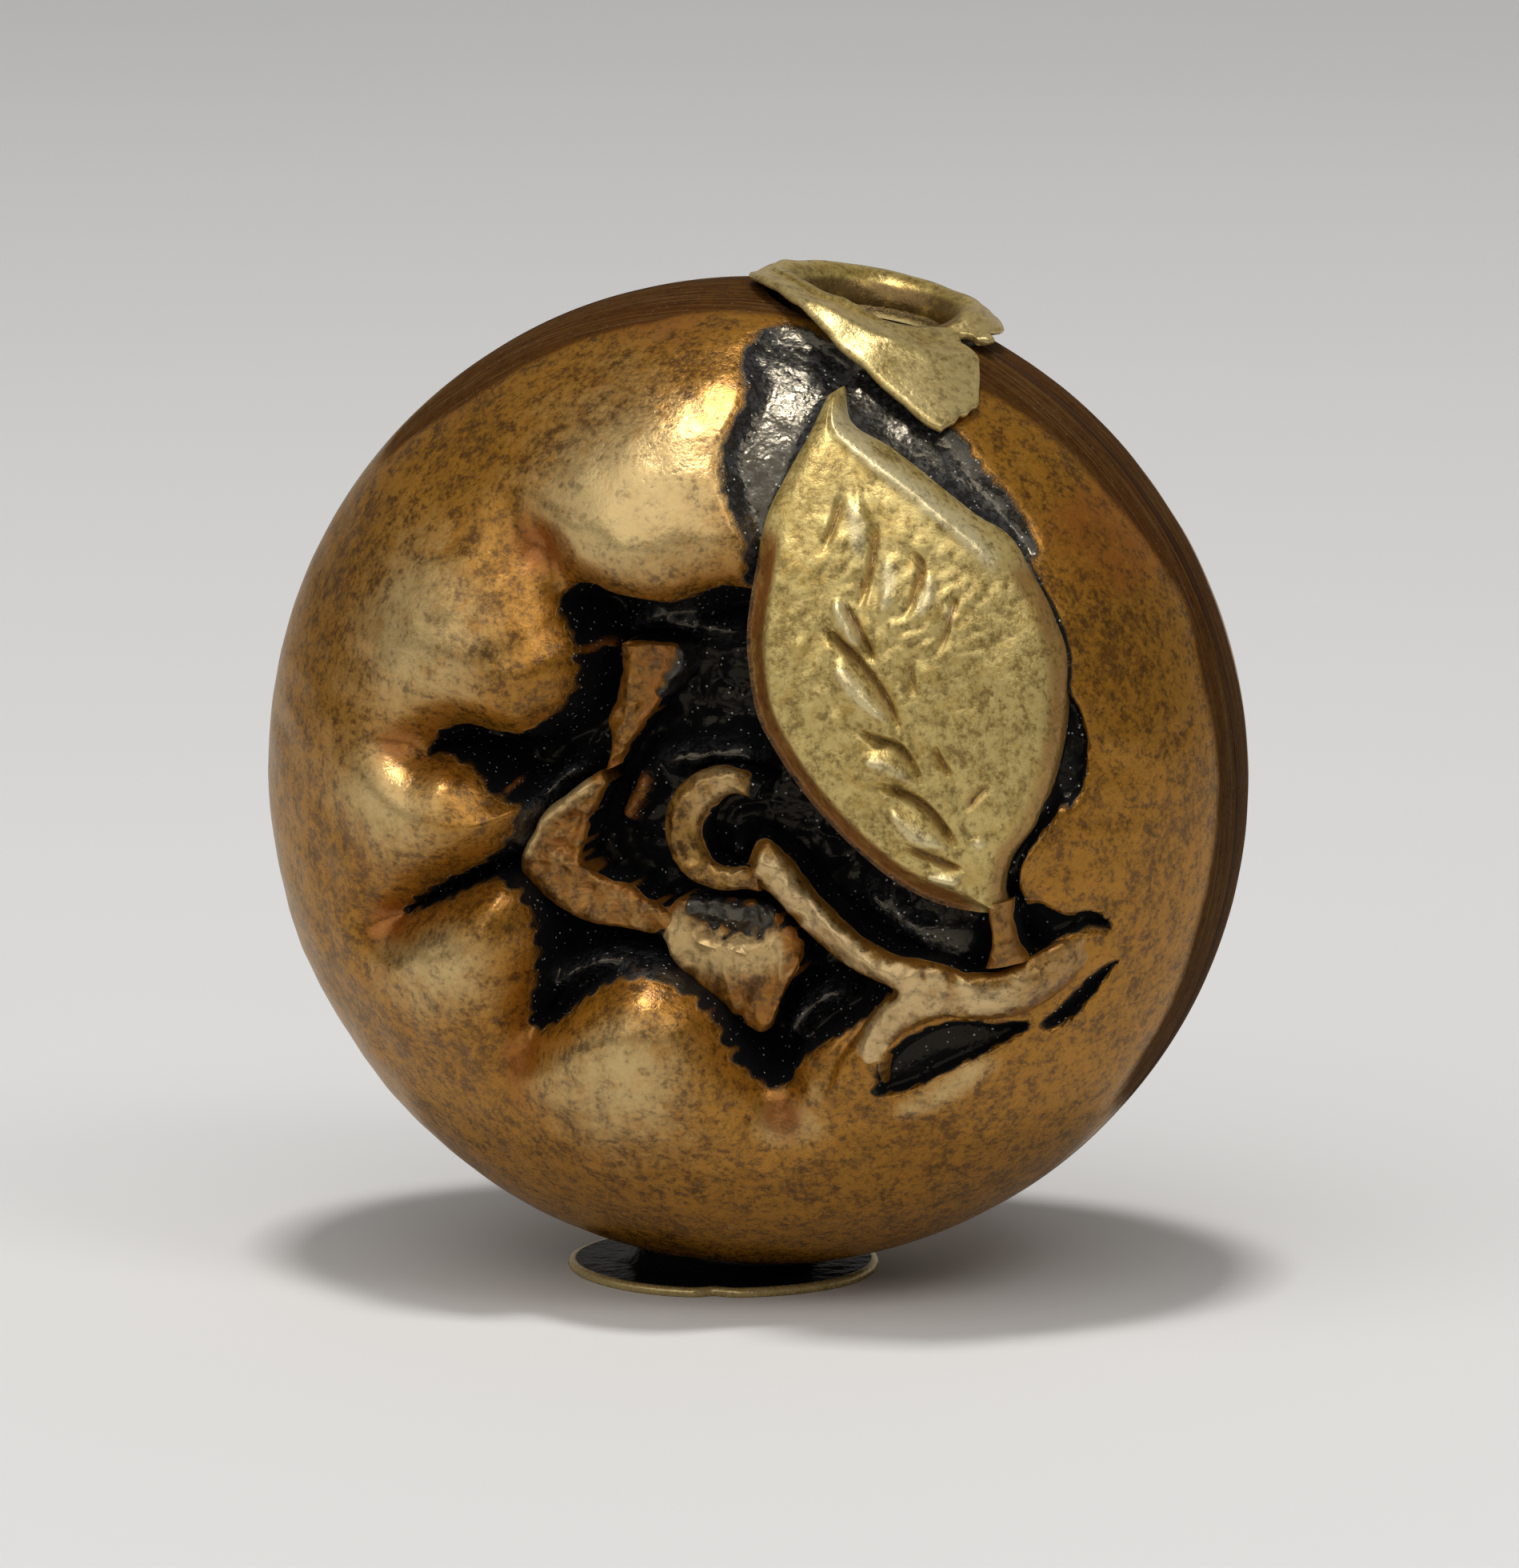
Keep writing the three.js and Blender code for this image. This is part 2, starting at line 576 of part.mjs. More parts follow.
// Seam solder on one side of the bore: a flat arc between the shells' rims
function seamSolder(side) {
  const outline = new THREE.Shape();
  const bore = new THREE.Path();
  for (let spoke = 0; spoke < faceSpokes; spoke++) {
    const angle = (2 * Math.PI * spoke) / faceSpokes;
    const edges = [[outline, rimAt(angle)], [bore, rimAt(angle) - shellWall]];
    for (const [path, radius] of edges) {
      if (spoke === 0) path.moveTo(radius * Math.cos(angle), radius * Math.sin(angle));
      else path.lineTo(radius * Math.cos(angle), radius * Math.sin(angle));
    }
  }
  outline.holes.push(bore);
  const ring = new THREE.ExtrudeGeometry(outline, { depth: solderWidth, bevelEnabled: false });
  ring.translate(0, 0, -shellBase).rotateX(Math.PI / 2);
  const reach = 2 * beadRadius + overrun;
  const away = new THREE.BoxGeometry(reach, reach, 2 * reach).translate((-side * reach) / 2, 0, 0);
  away.applyQuaternion(new THREE.Quaternion().setFromUnitVectors(down.clone().negate(), boreUp));
  const middle = boreFoot.clone().add(boreHead).multiplyScalar(1 / 2);
  away.translate(middle.x, middle.y, middle.z);
  return geometryOf(solidOf(ring).subtract(hole).subtract(solidOf(away)));
}

// A piece that stands on the face: its raw strips joined, then seated on the face
function seated(...strips) {
  const raw = strips.map(solidOf).reduce((whole, strip) => whole.add(strip));
  return geometryOf(raw.subtract(faceSeat));
}

// A ridge that stands in the pit
function pitRidge(rails, rise) {
  return stripGeometry({
    rails, across: ridgeAcrossShares, crown: ridgeCrownShares,
    top: (x, z, share) => pitFloor + rise * share,
    bottom: () => pitFloor - pieceRoot,
  });
}

// Height of the twig's crest: level with the calyx in the pit, then just above the body
function twigCrest(x, z) {
  const climb = smooth(x, twigClimbStartShare * beadRadius, twigClimbEndShare * beadRadius);
  return mix(pitFloor + ringRise, domeHeight(x, z, 0) + twigRise, climb);
}

// One branch of the twig
function twigStrip(rails) {
  return stripGeometry({
    rails, across: ridgeAcrossShares, crown: ridgeCrownShares,
    top: (x, z, share) => twigCrest(x, z) - twigEdgeDrop * (1 - share),
    bottom: (x, z) => Math.min(pitFloor, domeHeight(x, z, 0)) - pieceRoot,
  });
}

// A thin plate on the body that follows its dome
function domePlate(rails, across, crown, rise, plate) {
  return stripGeometry({
    rails, across, crown,
    top: (x, z, share) => domeHeight(x, z, 0) + rise * share,
    bottom: (x, z) => domeHeight(x, z, 0) - plate,
  });
}

// Metals
const metals = {
  body: { color: 0x6b5226, roughness: 0.42, metalness: 0.9 },
  solder: { color: 0x4a3a20, roughness: 0.5, metalness: 0.9 },
  calyx: { color: 0x7a4a22, roughness: 0.5, metalness: 0.85 },
  twig: { color: 0x84603a, roughness: 0.45, metalness: 0.85 },
  brass: { color: 0x8a7740, roughness: 0.4, metalness: 0.95 },
  tube: { color: 0x7a6a3c, roughness: 0.5, metalness: 0.95 },
};

const bead = new THREE.Group();
bead.position.z = standingHeight;

// Adds one named piece to the bead
function piece(name, geometry, metal) {
  const mesh = new THREE.Mesh(geometry, new THREE.MeshStandardMaterial(metals[metal]));
  mesh.name = name;
  bead.add(mesh);
}

piece("front_shell", frontShell(), "body");
piece("back_shell", backShell(), "body");
piece("seam_solder_right", seamSolder(1), "solder");
piece("seam_solder_left", seamSolder(-1), "solder");
piece("cord_tube", tubeGeometry(), "tube");
piece(
  "upper_eyelet",
  eyeletGeometry({
    centre: headCentre, bore: boreUp, normal: headNormal, rimRadius: upperRimRadius, reachAt: flapReach,
  }),
  "brass",
);
piece(
  "lower_eyelet",
  eyeletGeometry({
    centre: footCentre, bore: boreUp.clone().negate(), normal: down,
    rimRadius: lowerRimRadius, reachAt: () => lowerRimRadius,
  }),
  "brass",
);
piece("calyx_sepal_upper", seated(pitRidge(upperSepalRailShares, calyxRise)), "calyx");
piece("calyx_sepal_left", seated(pitRidge(leftSepalRailShares, calyxRise)), "calyx");
piece("calyx_sepal_lower", seated(pitRidge(lowerSepalRailShares, calyxRise)), "calyx");
piece("stalk_ring", seated(pitRidge(ringRailShares, ringRise)), "twig");
piece("twig", seated(twigStrip(twigRailShares), twigStrip(forkRailShares)), "twig");
piece(
  "leaf_stalk",
  seated(domePlate(stalkRailShares, ridgeAcrossShares, ridgeCrownShares, stalkRise, leafPlate)),
  "twig",
);
piece(
  "leaf_blade",
  seated(domePlate(leafRailShares, leafAcrossShares, leafCrownShares, leafRise, leafPlate)),
  "brass",
);

const object = new THREE.Group();
object.add(bead);

export default object;
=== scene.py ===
"""Looks of a hollow persimmon ojime bead.

Two embossed copper shells meet at a soldered seam round a cord tube. The face holds a dark pit
with a calyx, a stalk ring and a twig in it, a brass leaf lies beside the pit, and torn brass
eyelets line the cord holes. Forms are drawn in face millimetres on a bead of 8.6 mm radius: x
right, y into the bead and z up, from its middle. Each piece is then settled in the row frame, in
metres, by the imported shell's box.
"""

from __future__ import annotations

import json
import logging
import math
from dataclasses import dataclass, field
from enum import Enum
from typing import Any, Callable, Mapping, Sequence

import bmesh
import bpy
import numpy as np
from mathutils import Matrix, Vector

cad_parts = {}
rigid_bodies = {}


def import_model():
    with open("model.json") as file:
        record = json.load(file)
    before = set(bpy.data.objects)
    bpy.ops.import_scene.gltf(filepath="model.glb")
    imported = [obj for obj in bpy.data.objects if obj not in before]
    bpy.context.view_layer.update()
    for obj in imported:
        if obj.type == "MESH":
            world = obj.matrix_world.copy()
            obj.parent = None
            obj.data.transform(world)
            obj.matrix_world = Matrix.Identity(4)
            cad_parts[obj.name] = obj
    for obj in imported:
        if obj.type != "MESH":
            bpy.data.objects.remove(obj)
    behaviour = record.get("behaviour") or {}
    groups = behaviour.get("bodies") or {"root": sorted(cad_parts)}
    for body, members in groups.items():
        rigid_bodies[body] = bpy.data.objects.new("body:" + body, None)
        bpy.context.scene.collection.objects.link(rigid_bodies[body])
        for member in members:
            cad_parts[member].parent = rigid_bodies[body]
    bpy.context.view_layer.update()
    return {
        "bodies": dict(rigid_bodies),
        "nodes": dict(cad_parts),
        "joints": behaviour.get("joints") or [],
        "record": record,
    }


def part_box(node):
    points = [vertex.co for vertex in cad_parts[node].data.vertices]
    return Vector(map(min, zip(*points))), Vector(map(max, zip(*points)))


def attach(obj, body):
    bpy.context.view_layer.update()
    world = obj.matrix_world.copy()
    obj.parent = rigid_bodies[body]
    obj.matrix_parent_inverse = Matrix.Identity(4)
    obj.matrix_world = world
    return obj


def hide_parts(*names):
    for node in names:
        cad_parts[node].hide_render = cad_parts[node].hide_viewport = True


LOG = logging.getLogger("ojime_bead")
Array = np.ndarray
Knots = Sequence[tuple[float, ...]]
Span = tuple[float, float]
Colour = tuple[float, float, float]
Settings = Mapping[str, Any] | None
Sockets = Mapping[Any, Any] | None
MM = 0.001
INWARD = np.array([0.0, 1.0, 0.0])
DOWN = np.array([0.0, 0.0, -1.0])
LEAST_GAP = 1e-6
RUN_STEPS = 5
FADE_START = -0.02
BELL_REACH = 3


class Metal(Enum):
    """The record's material slots, one for each metal of the bead."""

    SHELL = "patinated_copper"
    SOLDER = "seam_solder"
    TUBE = "tube_brass"
    EYELET = "eyelet_brass"
    CALYX = "calyx_copper"
    TWIG = "twig_copper"
    LEAF = "leaf_brass"


class Side(Enum):
    """The two ways round the seam from the cord hole."""

    RIGHT = 1
    LEFT = -1


def mix(a: Any, b: Any, share: Any) -> Any:
    """The value that lies a share of the way from a to b."""
    return a + (b - a) * share


def smooth(value: Any, low: float, high: float) -> Array:
    """A soft step that is 0 up to low and 1 from high."""
    t = np.clip((value - low) / (high - low), 0.0, 1.0)
    return t * t * (3.0 - 2.0 * t)


def bell(gap: Any, width: Any) -> Array:
    """A round-topped hump that is 1 at no gap and fades over a width."""
    return np.exp(-((gap / width) ** 2))


def fade_ends(along: Array, start: float, full: float) -> Array:
    """A share that fades out toward both ends of a run."""
    return smooth(along, start, full) * smooth(1 - along, start, full)


def unit(ways: Array, axis: int | None = None) -> Array:
    """A way at a length of 1, or many ways that lie along an axis."""
    return ways / np.linalg.norm(ways, axis=axis, keepdims=True)


def circle(count: int) -> Array:
    """Even angles all round."""
    return np.linspace(0, 2 * math.pi, count, endpoint=False)


def quarter(steps: int) -> Array:
    """Even angles up to a quarter turn, without 0."""
    return np.linspace(0, math.pi / 2, steps + 1)[1:]


def round_ways(angle: Array, side: Array, other: Array = INWARD) -> Array:
    """The way at each angle, from one side toward the other."""
    return np.cos(angle)[:, None] * side + np.sin(angle)[:, None] * other


def degrees_round(angle: Array) -> Array:
    """Angles in degrees, from -180 to 180."""
    return (np.degrees(angle) + 180) % 360 - 180


def looked_up(table: Knots, place: Array) -> Array:
    """The value at each place, from a table of places and values."""
    places, values = np.array(table, float).T
    return np.interp(place, places, values)


def through(knots: Knots, steps: int = RUN_STEPS, closed: bool = False) -> Array:
    """Draws a smooth run through knots, of any number of values each.

    Args:
        knots: The places that the run passes.
        steps: How many points each span between two knots gets.
        closed: Whether the run comes back to its first knot.

    Returns:
        The run's points, one row each, with the first repeated at the end of a closed run.
    """
    given = np.array(knots, float)
    if closed:
        pads = np.vstack([given[-1:], given, given[:2]])
    else:
        pads = np.vstack([2 * given[:1] - given[1:2], given, 2 * given[-1:] - given[-2:-1]])
    pieces = []
    for near in zip(pads, pads[1:], pads[2:], pads[3:]):
        p0, p1, p2, p3 = near
        gaps = [float(np.linalg.norm(b - a)) for a, b in zip(near, near[1:])]
        t0, t1, t2, t3 = np.cumsum([0.0, *(max(gap, LEAST_GAP) ** 0.5 for gap in gaps)])
        t = np.linspace(t1, t2, steps, endpoint=False)[:, None]
        a1 = mix(p0, p1, (t - t0) / (t1 - t0))
        a2 = mix(p1, p2, (t - t1) / (t2 - t1))
        a3 = mix(p2, p3, (t - t2) / (t3 - t2))
        b1 = mix(a1, a2, (t - t0) / (t2 - t0))
        b2 = mix(a2, a3, (t - t1) / (t3 - t1))
        pieces.append(mix(b1, b2, (t - t1) / (t2 - t1)))
    last = given[:1] if closed else given[-1:]
    return np.vstack([*pieces, last])


def between(rails: Array, share: Array) -> tuple[Array, Array]:
    """The x and z of places between rails, whose rows are a left x, z and a right x, z."""
    return mix(rails[:, 0:1], rails[:, 2:3], share), mix(rails[:, 1:2], rails[:, 3:4], share)


@dataclass(frozen=True)
class Run:
    """A run of points on the face, open or closed."""

    points: Array

    @classmethod
    def drawn(cls, knots: Knots, steps: int = RUN_STEPS, closed: bool = False) -> "Run":
        """A smooth run through knots on the face."""
        return cls(through(knots, steps, closed))

    def near(self, x: Array, z: Array, reach: float) -> Array:
        """Which places lie within a reach of the run's box."""
        low, high = self.points.min(0) - reach, self.points.max(0) + reach
        return (x > low[0]) & (x < high[0]) & (z > low[1]) & (z < high[1])

    def nearest(self, x: Array, z: Array) -> tuple[Array, Array]:
        """Measures places against the run.

        Args:
            x: Places across the face.
            z: Places up the face, of the same shape.

        Returns:
            The distance of each place from the run, and the share of the run at which it is met.
        """
        best = np.full(x.shape, np.inf)
        along = np.zeros(x.shape)
        count = len(self.points) - 1
        for i, (a, b) in enumerate(zip(self.points, self.points[1:])):
            edge = b - a
            span = max(float(edge @ edge), LEAST_GAP**2)
            t = np.clip(((x - a[0]) * edge[0] + (z - a[1]) * edge[1]) / span, 0.0, 1.0)
            gap = (x - a[0] - t * edge[0]) ** 2 + (z - a[1] - t * edge[1]) ** 2
            nearer = gap < best
            best = np.where(nearer, gap, best)
            along = np.where(nearer, (i + t) / count, along)
        return np.sqrt(best), along

    def depth_inside(self, x: Array, z: Array, reach: float = 2.5) -> Array:
        """Measures how far places lie inside a closed run.

        Args:
            x: Places across the face.
            z: Places up the face, of the same shape.
            reach: The distance outside the run's box past which nothing is measured.

        Returns:
            The distance from the edge, negative outside, and minus the reach where it is further.
        """
        near = self.near(x, z, reach)
        depth = np.full(x.shape, -reach)
        px, pz = x[near], z[near]
        within = np.zeros(px.shape, bool)
        for a, b in zip(self.points, self.points[1:]):
            if a[1] == b[1]:
                continue
            crosses = (a[1] > pz) != (b[1] > pz)
            within ^= crosses & (px < (b[0] - a[0]) * (pz - a[1]) / (b[1] - a[1]) + a[0])
        gap, _ = self.nearest(px, pz)
        depth[near] = np.maximum(np.where(within, gap, -gap), -reach)
        return depth


@dataclass(frozen=True)
class Stroke:
    """A ridge or groove along a smooth run: a positive height is a ridge.

    Each knot is an x, a z and, where it isn't 1, the share of the width there.
    """

    knots: Knots
    width: float
    height: float
    fade: float = 0.25

    def cover(self, x: Array, z: Array, spread: float = 1.0) -> Array:
        """The share of the stroke at each place, its width spread by a factor."""
        drawn = through([(*knot, 1.0)[:3] for knot in self.knots])
        run = Run(drawn[:, :2])
        widest = self.width * spread * max(1.0, float(drawn[:, 2].max()))
        near = run.near(x, z, BELL_REACH * widest)
        gap, along = run.nearest(x[near], z[near])
        shares = np.interp(along, np.linspace(0, 1, len(drawn)), drawn[:, 2])
        ends = fade_ends(along, FADE_START, self.fade)
        share = np.zeros(x.shape)
        share[near] = bell(gap, self.width * spread * shares) * ends
        return share

    def relief(self, x: Array, z: Array) -> Array:
        """The stroke's height at each place."""
        return self.height * self.cover(x, z)


def relief(strokes: Sequence[Stroke], x: Array, z: Array) -> Array:
    """The summed height of strokes at each place."""
    return sum((stroke.relief(x, z) for stroke in strokes), np.zeros(x.shape))


def cover(strokes: Sequence[Stroke], x: Array, z: Array, spread: float = 1.0) -> Array:
    """The largest share of any stroke at each place."""
    return np.max([stroke.cover(x, z, spread) for stroke in strokes], axis=0)


@dataclass(frozen=True)
class Patch:
    """A blackened hollow beside the leaf or the twig, with a drawn outline."""

    knots: Knots
    drop: float
    soft: float = 0.1
    steps: int = 4
    reach: float = 1.0

    def share(self, x: Array, z: Array, jitter: Any = 0.0) -> Array:
        """How far places lie in the patch, from 0 outside to 1, its edge moved by a jitter."""
        depth = Run.drawn(self.knots, self.steps, closed=True).depth_inside(x, z, self.reach)
        return smooth(depth + jitter, -self.soft, self.soft)


@dataclass(frozen=True)
class Lobe:
    """A round hump on the face."""

    x: float
    z: float
    rise: float
    spread: float

    def share(self, x: Array, z: Array) -> Array:
        """The hump's share at each place, 1 at its middle."""
        return bell(np.hypot(x - self.x, z - self.z), self.spread)

    def relief(self, x: Array, z: Array) -> Array:
        """The hump's height at each place."""
        return self.rise * self.share(x, z)


@dataclass(frozen=True)
class Unevenness:
    """Soft seeded bumps: cosine waves of about one length, each its own way."""

    seed: int
    length: float
    height: float
    waves: int = 18
    lengths: Span = (0.7, 1.4)

    def at(self, points: Array) -> Array:
        """The bumps' height at points of two or three values each."""
        draw = np.random.default_rng(self.seed)
        total = np.zeros(points.shape[:-1])
        for _ in range(self.waves):
            way = draw.normal(size=points.shape[-1])
            length = self.length * draw.uniform(*self.lengths)
            way *= 2 * math.pi / (length * np.linalg.norm(way))
            total += np.cos(points @ way + draw.uniform(0, 2 * math.pi))
        return self.height * total * math.sqrt(2 / self.waves)

    def on_face(self, x: Array, z: Array) -> Array:
        """The bumps' height at places on the face."""
        return self.at(np.stack([x, z], axis=-1))


@dataclass
class Draft:
    """Points and faces of one form, in face millimetres."""

    points: Array
    faces: list[list[int]]

    def joined(self, other: "Draft") -> "Draft":
        """This form and another as one draft."""
        shift = len(self.points)
        moved = [[shift + i for i in face] for face in other.faces]
        return Draft(np.vstack([self.points, other.points]), self.faces + moved)


def grid_faces(
    rows: int, columns: int, start: int = 0, wrap_rows: bool = False, wrap: bool = False
) -> list[list[int]]:
    """Lists the four-sided faces of a grid of points.

    Args:
        rows: How many rows the grid has.
        columns: How many points each row has.
        start: The number of the grid's first point.
        wrap_rows: Whether the last row joins the first.
        wrap: Whether the last column joins the first.

    Returns:
        The faces, each as four point numbers.
    """
    down = np.arange(rows if wrap_rows else rows - 1)[:, None]
    over = np.arange(columns if wrap else columns - 1)[None, :]
    below, right = (down + 1) % rows, (over + 1) % columns
    corners = [
        down * columns + over, down * columns + right,
        below * columns + right, below * columns + over,
    ]
    return (start + np.stack(np.broadcast_arrays(*corners), axis=-1).reshape(-1, 4)).tolist()


def slab(top: Array, bottom: Array) -> Draft:
    """Closes two grids of points, rows by columns by three, one over the other, into one body."""
    rows, columns, _ = top.shape
    count = rows * columns
    grid = np.arange(count).reshape(rows, columns)
    edge = np.concatenate([grid[0, :-1], grid[:-1, -1], grid[-1, :0:-1], grid[:0:-1, 0]]).tolist()
    sides = [[a, b, b + count, a + count] for a, b in zip(edge, [*edge[1:], edge[0]])]
    under = [face[::-1] for face in grid_faces(rows, columns, count)]
    points = np.vstack([top.reshape(-1, 3), bottom.reshape(-1, 3)])
    return Draft(points, grid_faces(rows, columns) + under + sides)


def rod(rings: Array) -> Draft:
    """Closes a row of rings of points into a rod with a flat face at each end."""
    rows, columns, _ = rings.shape
    count = rows * columns
    caps = [list(range(columns)), list(range(count - 1, count - columns - 1, -1))]
    return Draft(rings.reshape(-1, 3), grid_faces(rows, columns, wrap=True) + caps)


def sheet(middle: Array, thickness: float, round_steps: int = 4) -> Draft:
    """Thickens a ring-shaped sheet and rounds its two edges.

    Args:
        middle: The sheet's middle surface, rows by points round by three; a row closes on itself.
        thickness: The sheet's thickness.
        round_steps: How many steps round each edge.

    Returns:
        The closed form.
    """
    along = np.gradient(middle, axis=0)
    round_way = np.roll(middle, -1, axis=1) - np.roll(middle, 1, axis=1)
    normal = unit(np.cross(along, round_way), axis=2)
    out = unit(along, axis=2)
    half = thickness / 2

    def rounded(row: int, way: int) -> list[Array]:
        """The loops that round the edge at a row."""
        loops = []
        for turn in np.linspace(0, math.pi, round_steps + 1)[1:-1]:
            swing = math.cos(turn) * normal[row] * way + math.sin(turn) * out[row] * way
            loops.append(middle[row] + half * swing)
        return loops

    over, under = middle + half * normal, (middle - half * normal)[::-1]
    grid = np.stack([*over, *rounded(-1, 1), *under, *rounded(0, -1)])
    rows, columns, _ = grid.shape
    return Draft(grid.reshape(-1, 3), grid_faces(rows, columns, wrap_rows=True, wrap=True))


@dataclass(frozen=True)
class BeadBody:
    """The bead's plain form: a round outline that swells a little, and a full dome each way."""

    radius: float = 8.6
    half_depth: float = 6.2
    seam: float = 0.15
    wall: float = 0.55
    fullness: float = 2.4
    swell: float = 0.01
    swell_angle: float = math.radians(115)
    rim_fade: Span = (0.0, 2.5)

    def rim(self, angle: Any) -> Any:
        """The outline's radius at an angle."""
        return self.radius * (1 + self.swell * np.cos(angle - self.swell_angle))

    def dome(self, x: Array, z: Array, loss: float = 0.0) -> Array:
        """The height of a plain dome over a shell's rim, with a wall lost all round."""
        reach = np.hypot(x, z) / (self.rim(np.arctan2(z, x)) - loss)
        room = np.maximum(0.0, 1 - reach**self.fullness)
        return (self.half_depth - self.seam - loss) * np.sqrt(room)

    def points_at(self, x: Array, z: Array, height: Array, facing: int = -1) -> Array:
        """Points at a height over a shell's rim: the front's facing -1, the back's facing 1."""
        return np.stack([x, facing * (self.seam + height), z], axis=-1)

    def height_of(self, points: Array) -> Array:
        """How high points lie over the front shell's rim."""
        return -points[:, 1] - self.seam


@dataclass(frozen=True)
class Bore:
    """The cord channel: its line, and the brass and the clearances round it."""

    body: BeadBody
    foot_x: float = -0.62
    head_x: float = 2.1
    hole_radius: float = 1.3
    shell_hole_radius: float = 1.95
    tube_inner_radius: float = 1.6
    tube_outer_radius: float = 1.85
    tube_sink: float = 0.62

    @property
    def foot(self) -> Array:
        """Where the line leaves the bead's outline below."""
        return np.array([self.foot_x, 0.0, -math.sqrt(self.body.radius**2 - self.foot_x**2)])

    @property
    def head(self) -> Array:
        """Where the line leaves the bead's outline above."""
        return np.array([self.head_x, 0.0, math.sqrt(self.body.radius**2 - self.head_x**2)])

    @property
    def up(self) -> Array:
        """The way up the line."""
        return unit(self.head - self.foot)

    @property
    def head_normal(self) -> Array:
        """The way out of the upper hole, half way between the line and the surface there."""
        return unit(self.up + unit(self.head))

    def cutter(self, overrun: float = 1.0, sides: int = 96) -> Draft:
        """The round bar that cuts the cord hole through both shells."""
        start, end = self.foot - overrun * self.up, self.head + overrun * self.up
        way = unit(end - start)
        side = unit(np.cross(way, INWARD))
        ring = self.shell_hole_radius * round_ways(circle(sides), side, np.cross(way, side))
        return rod(np.stack([start + ring, end + ring]))


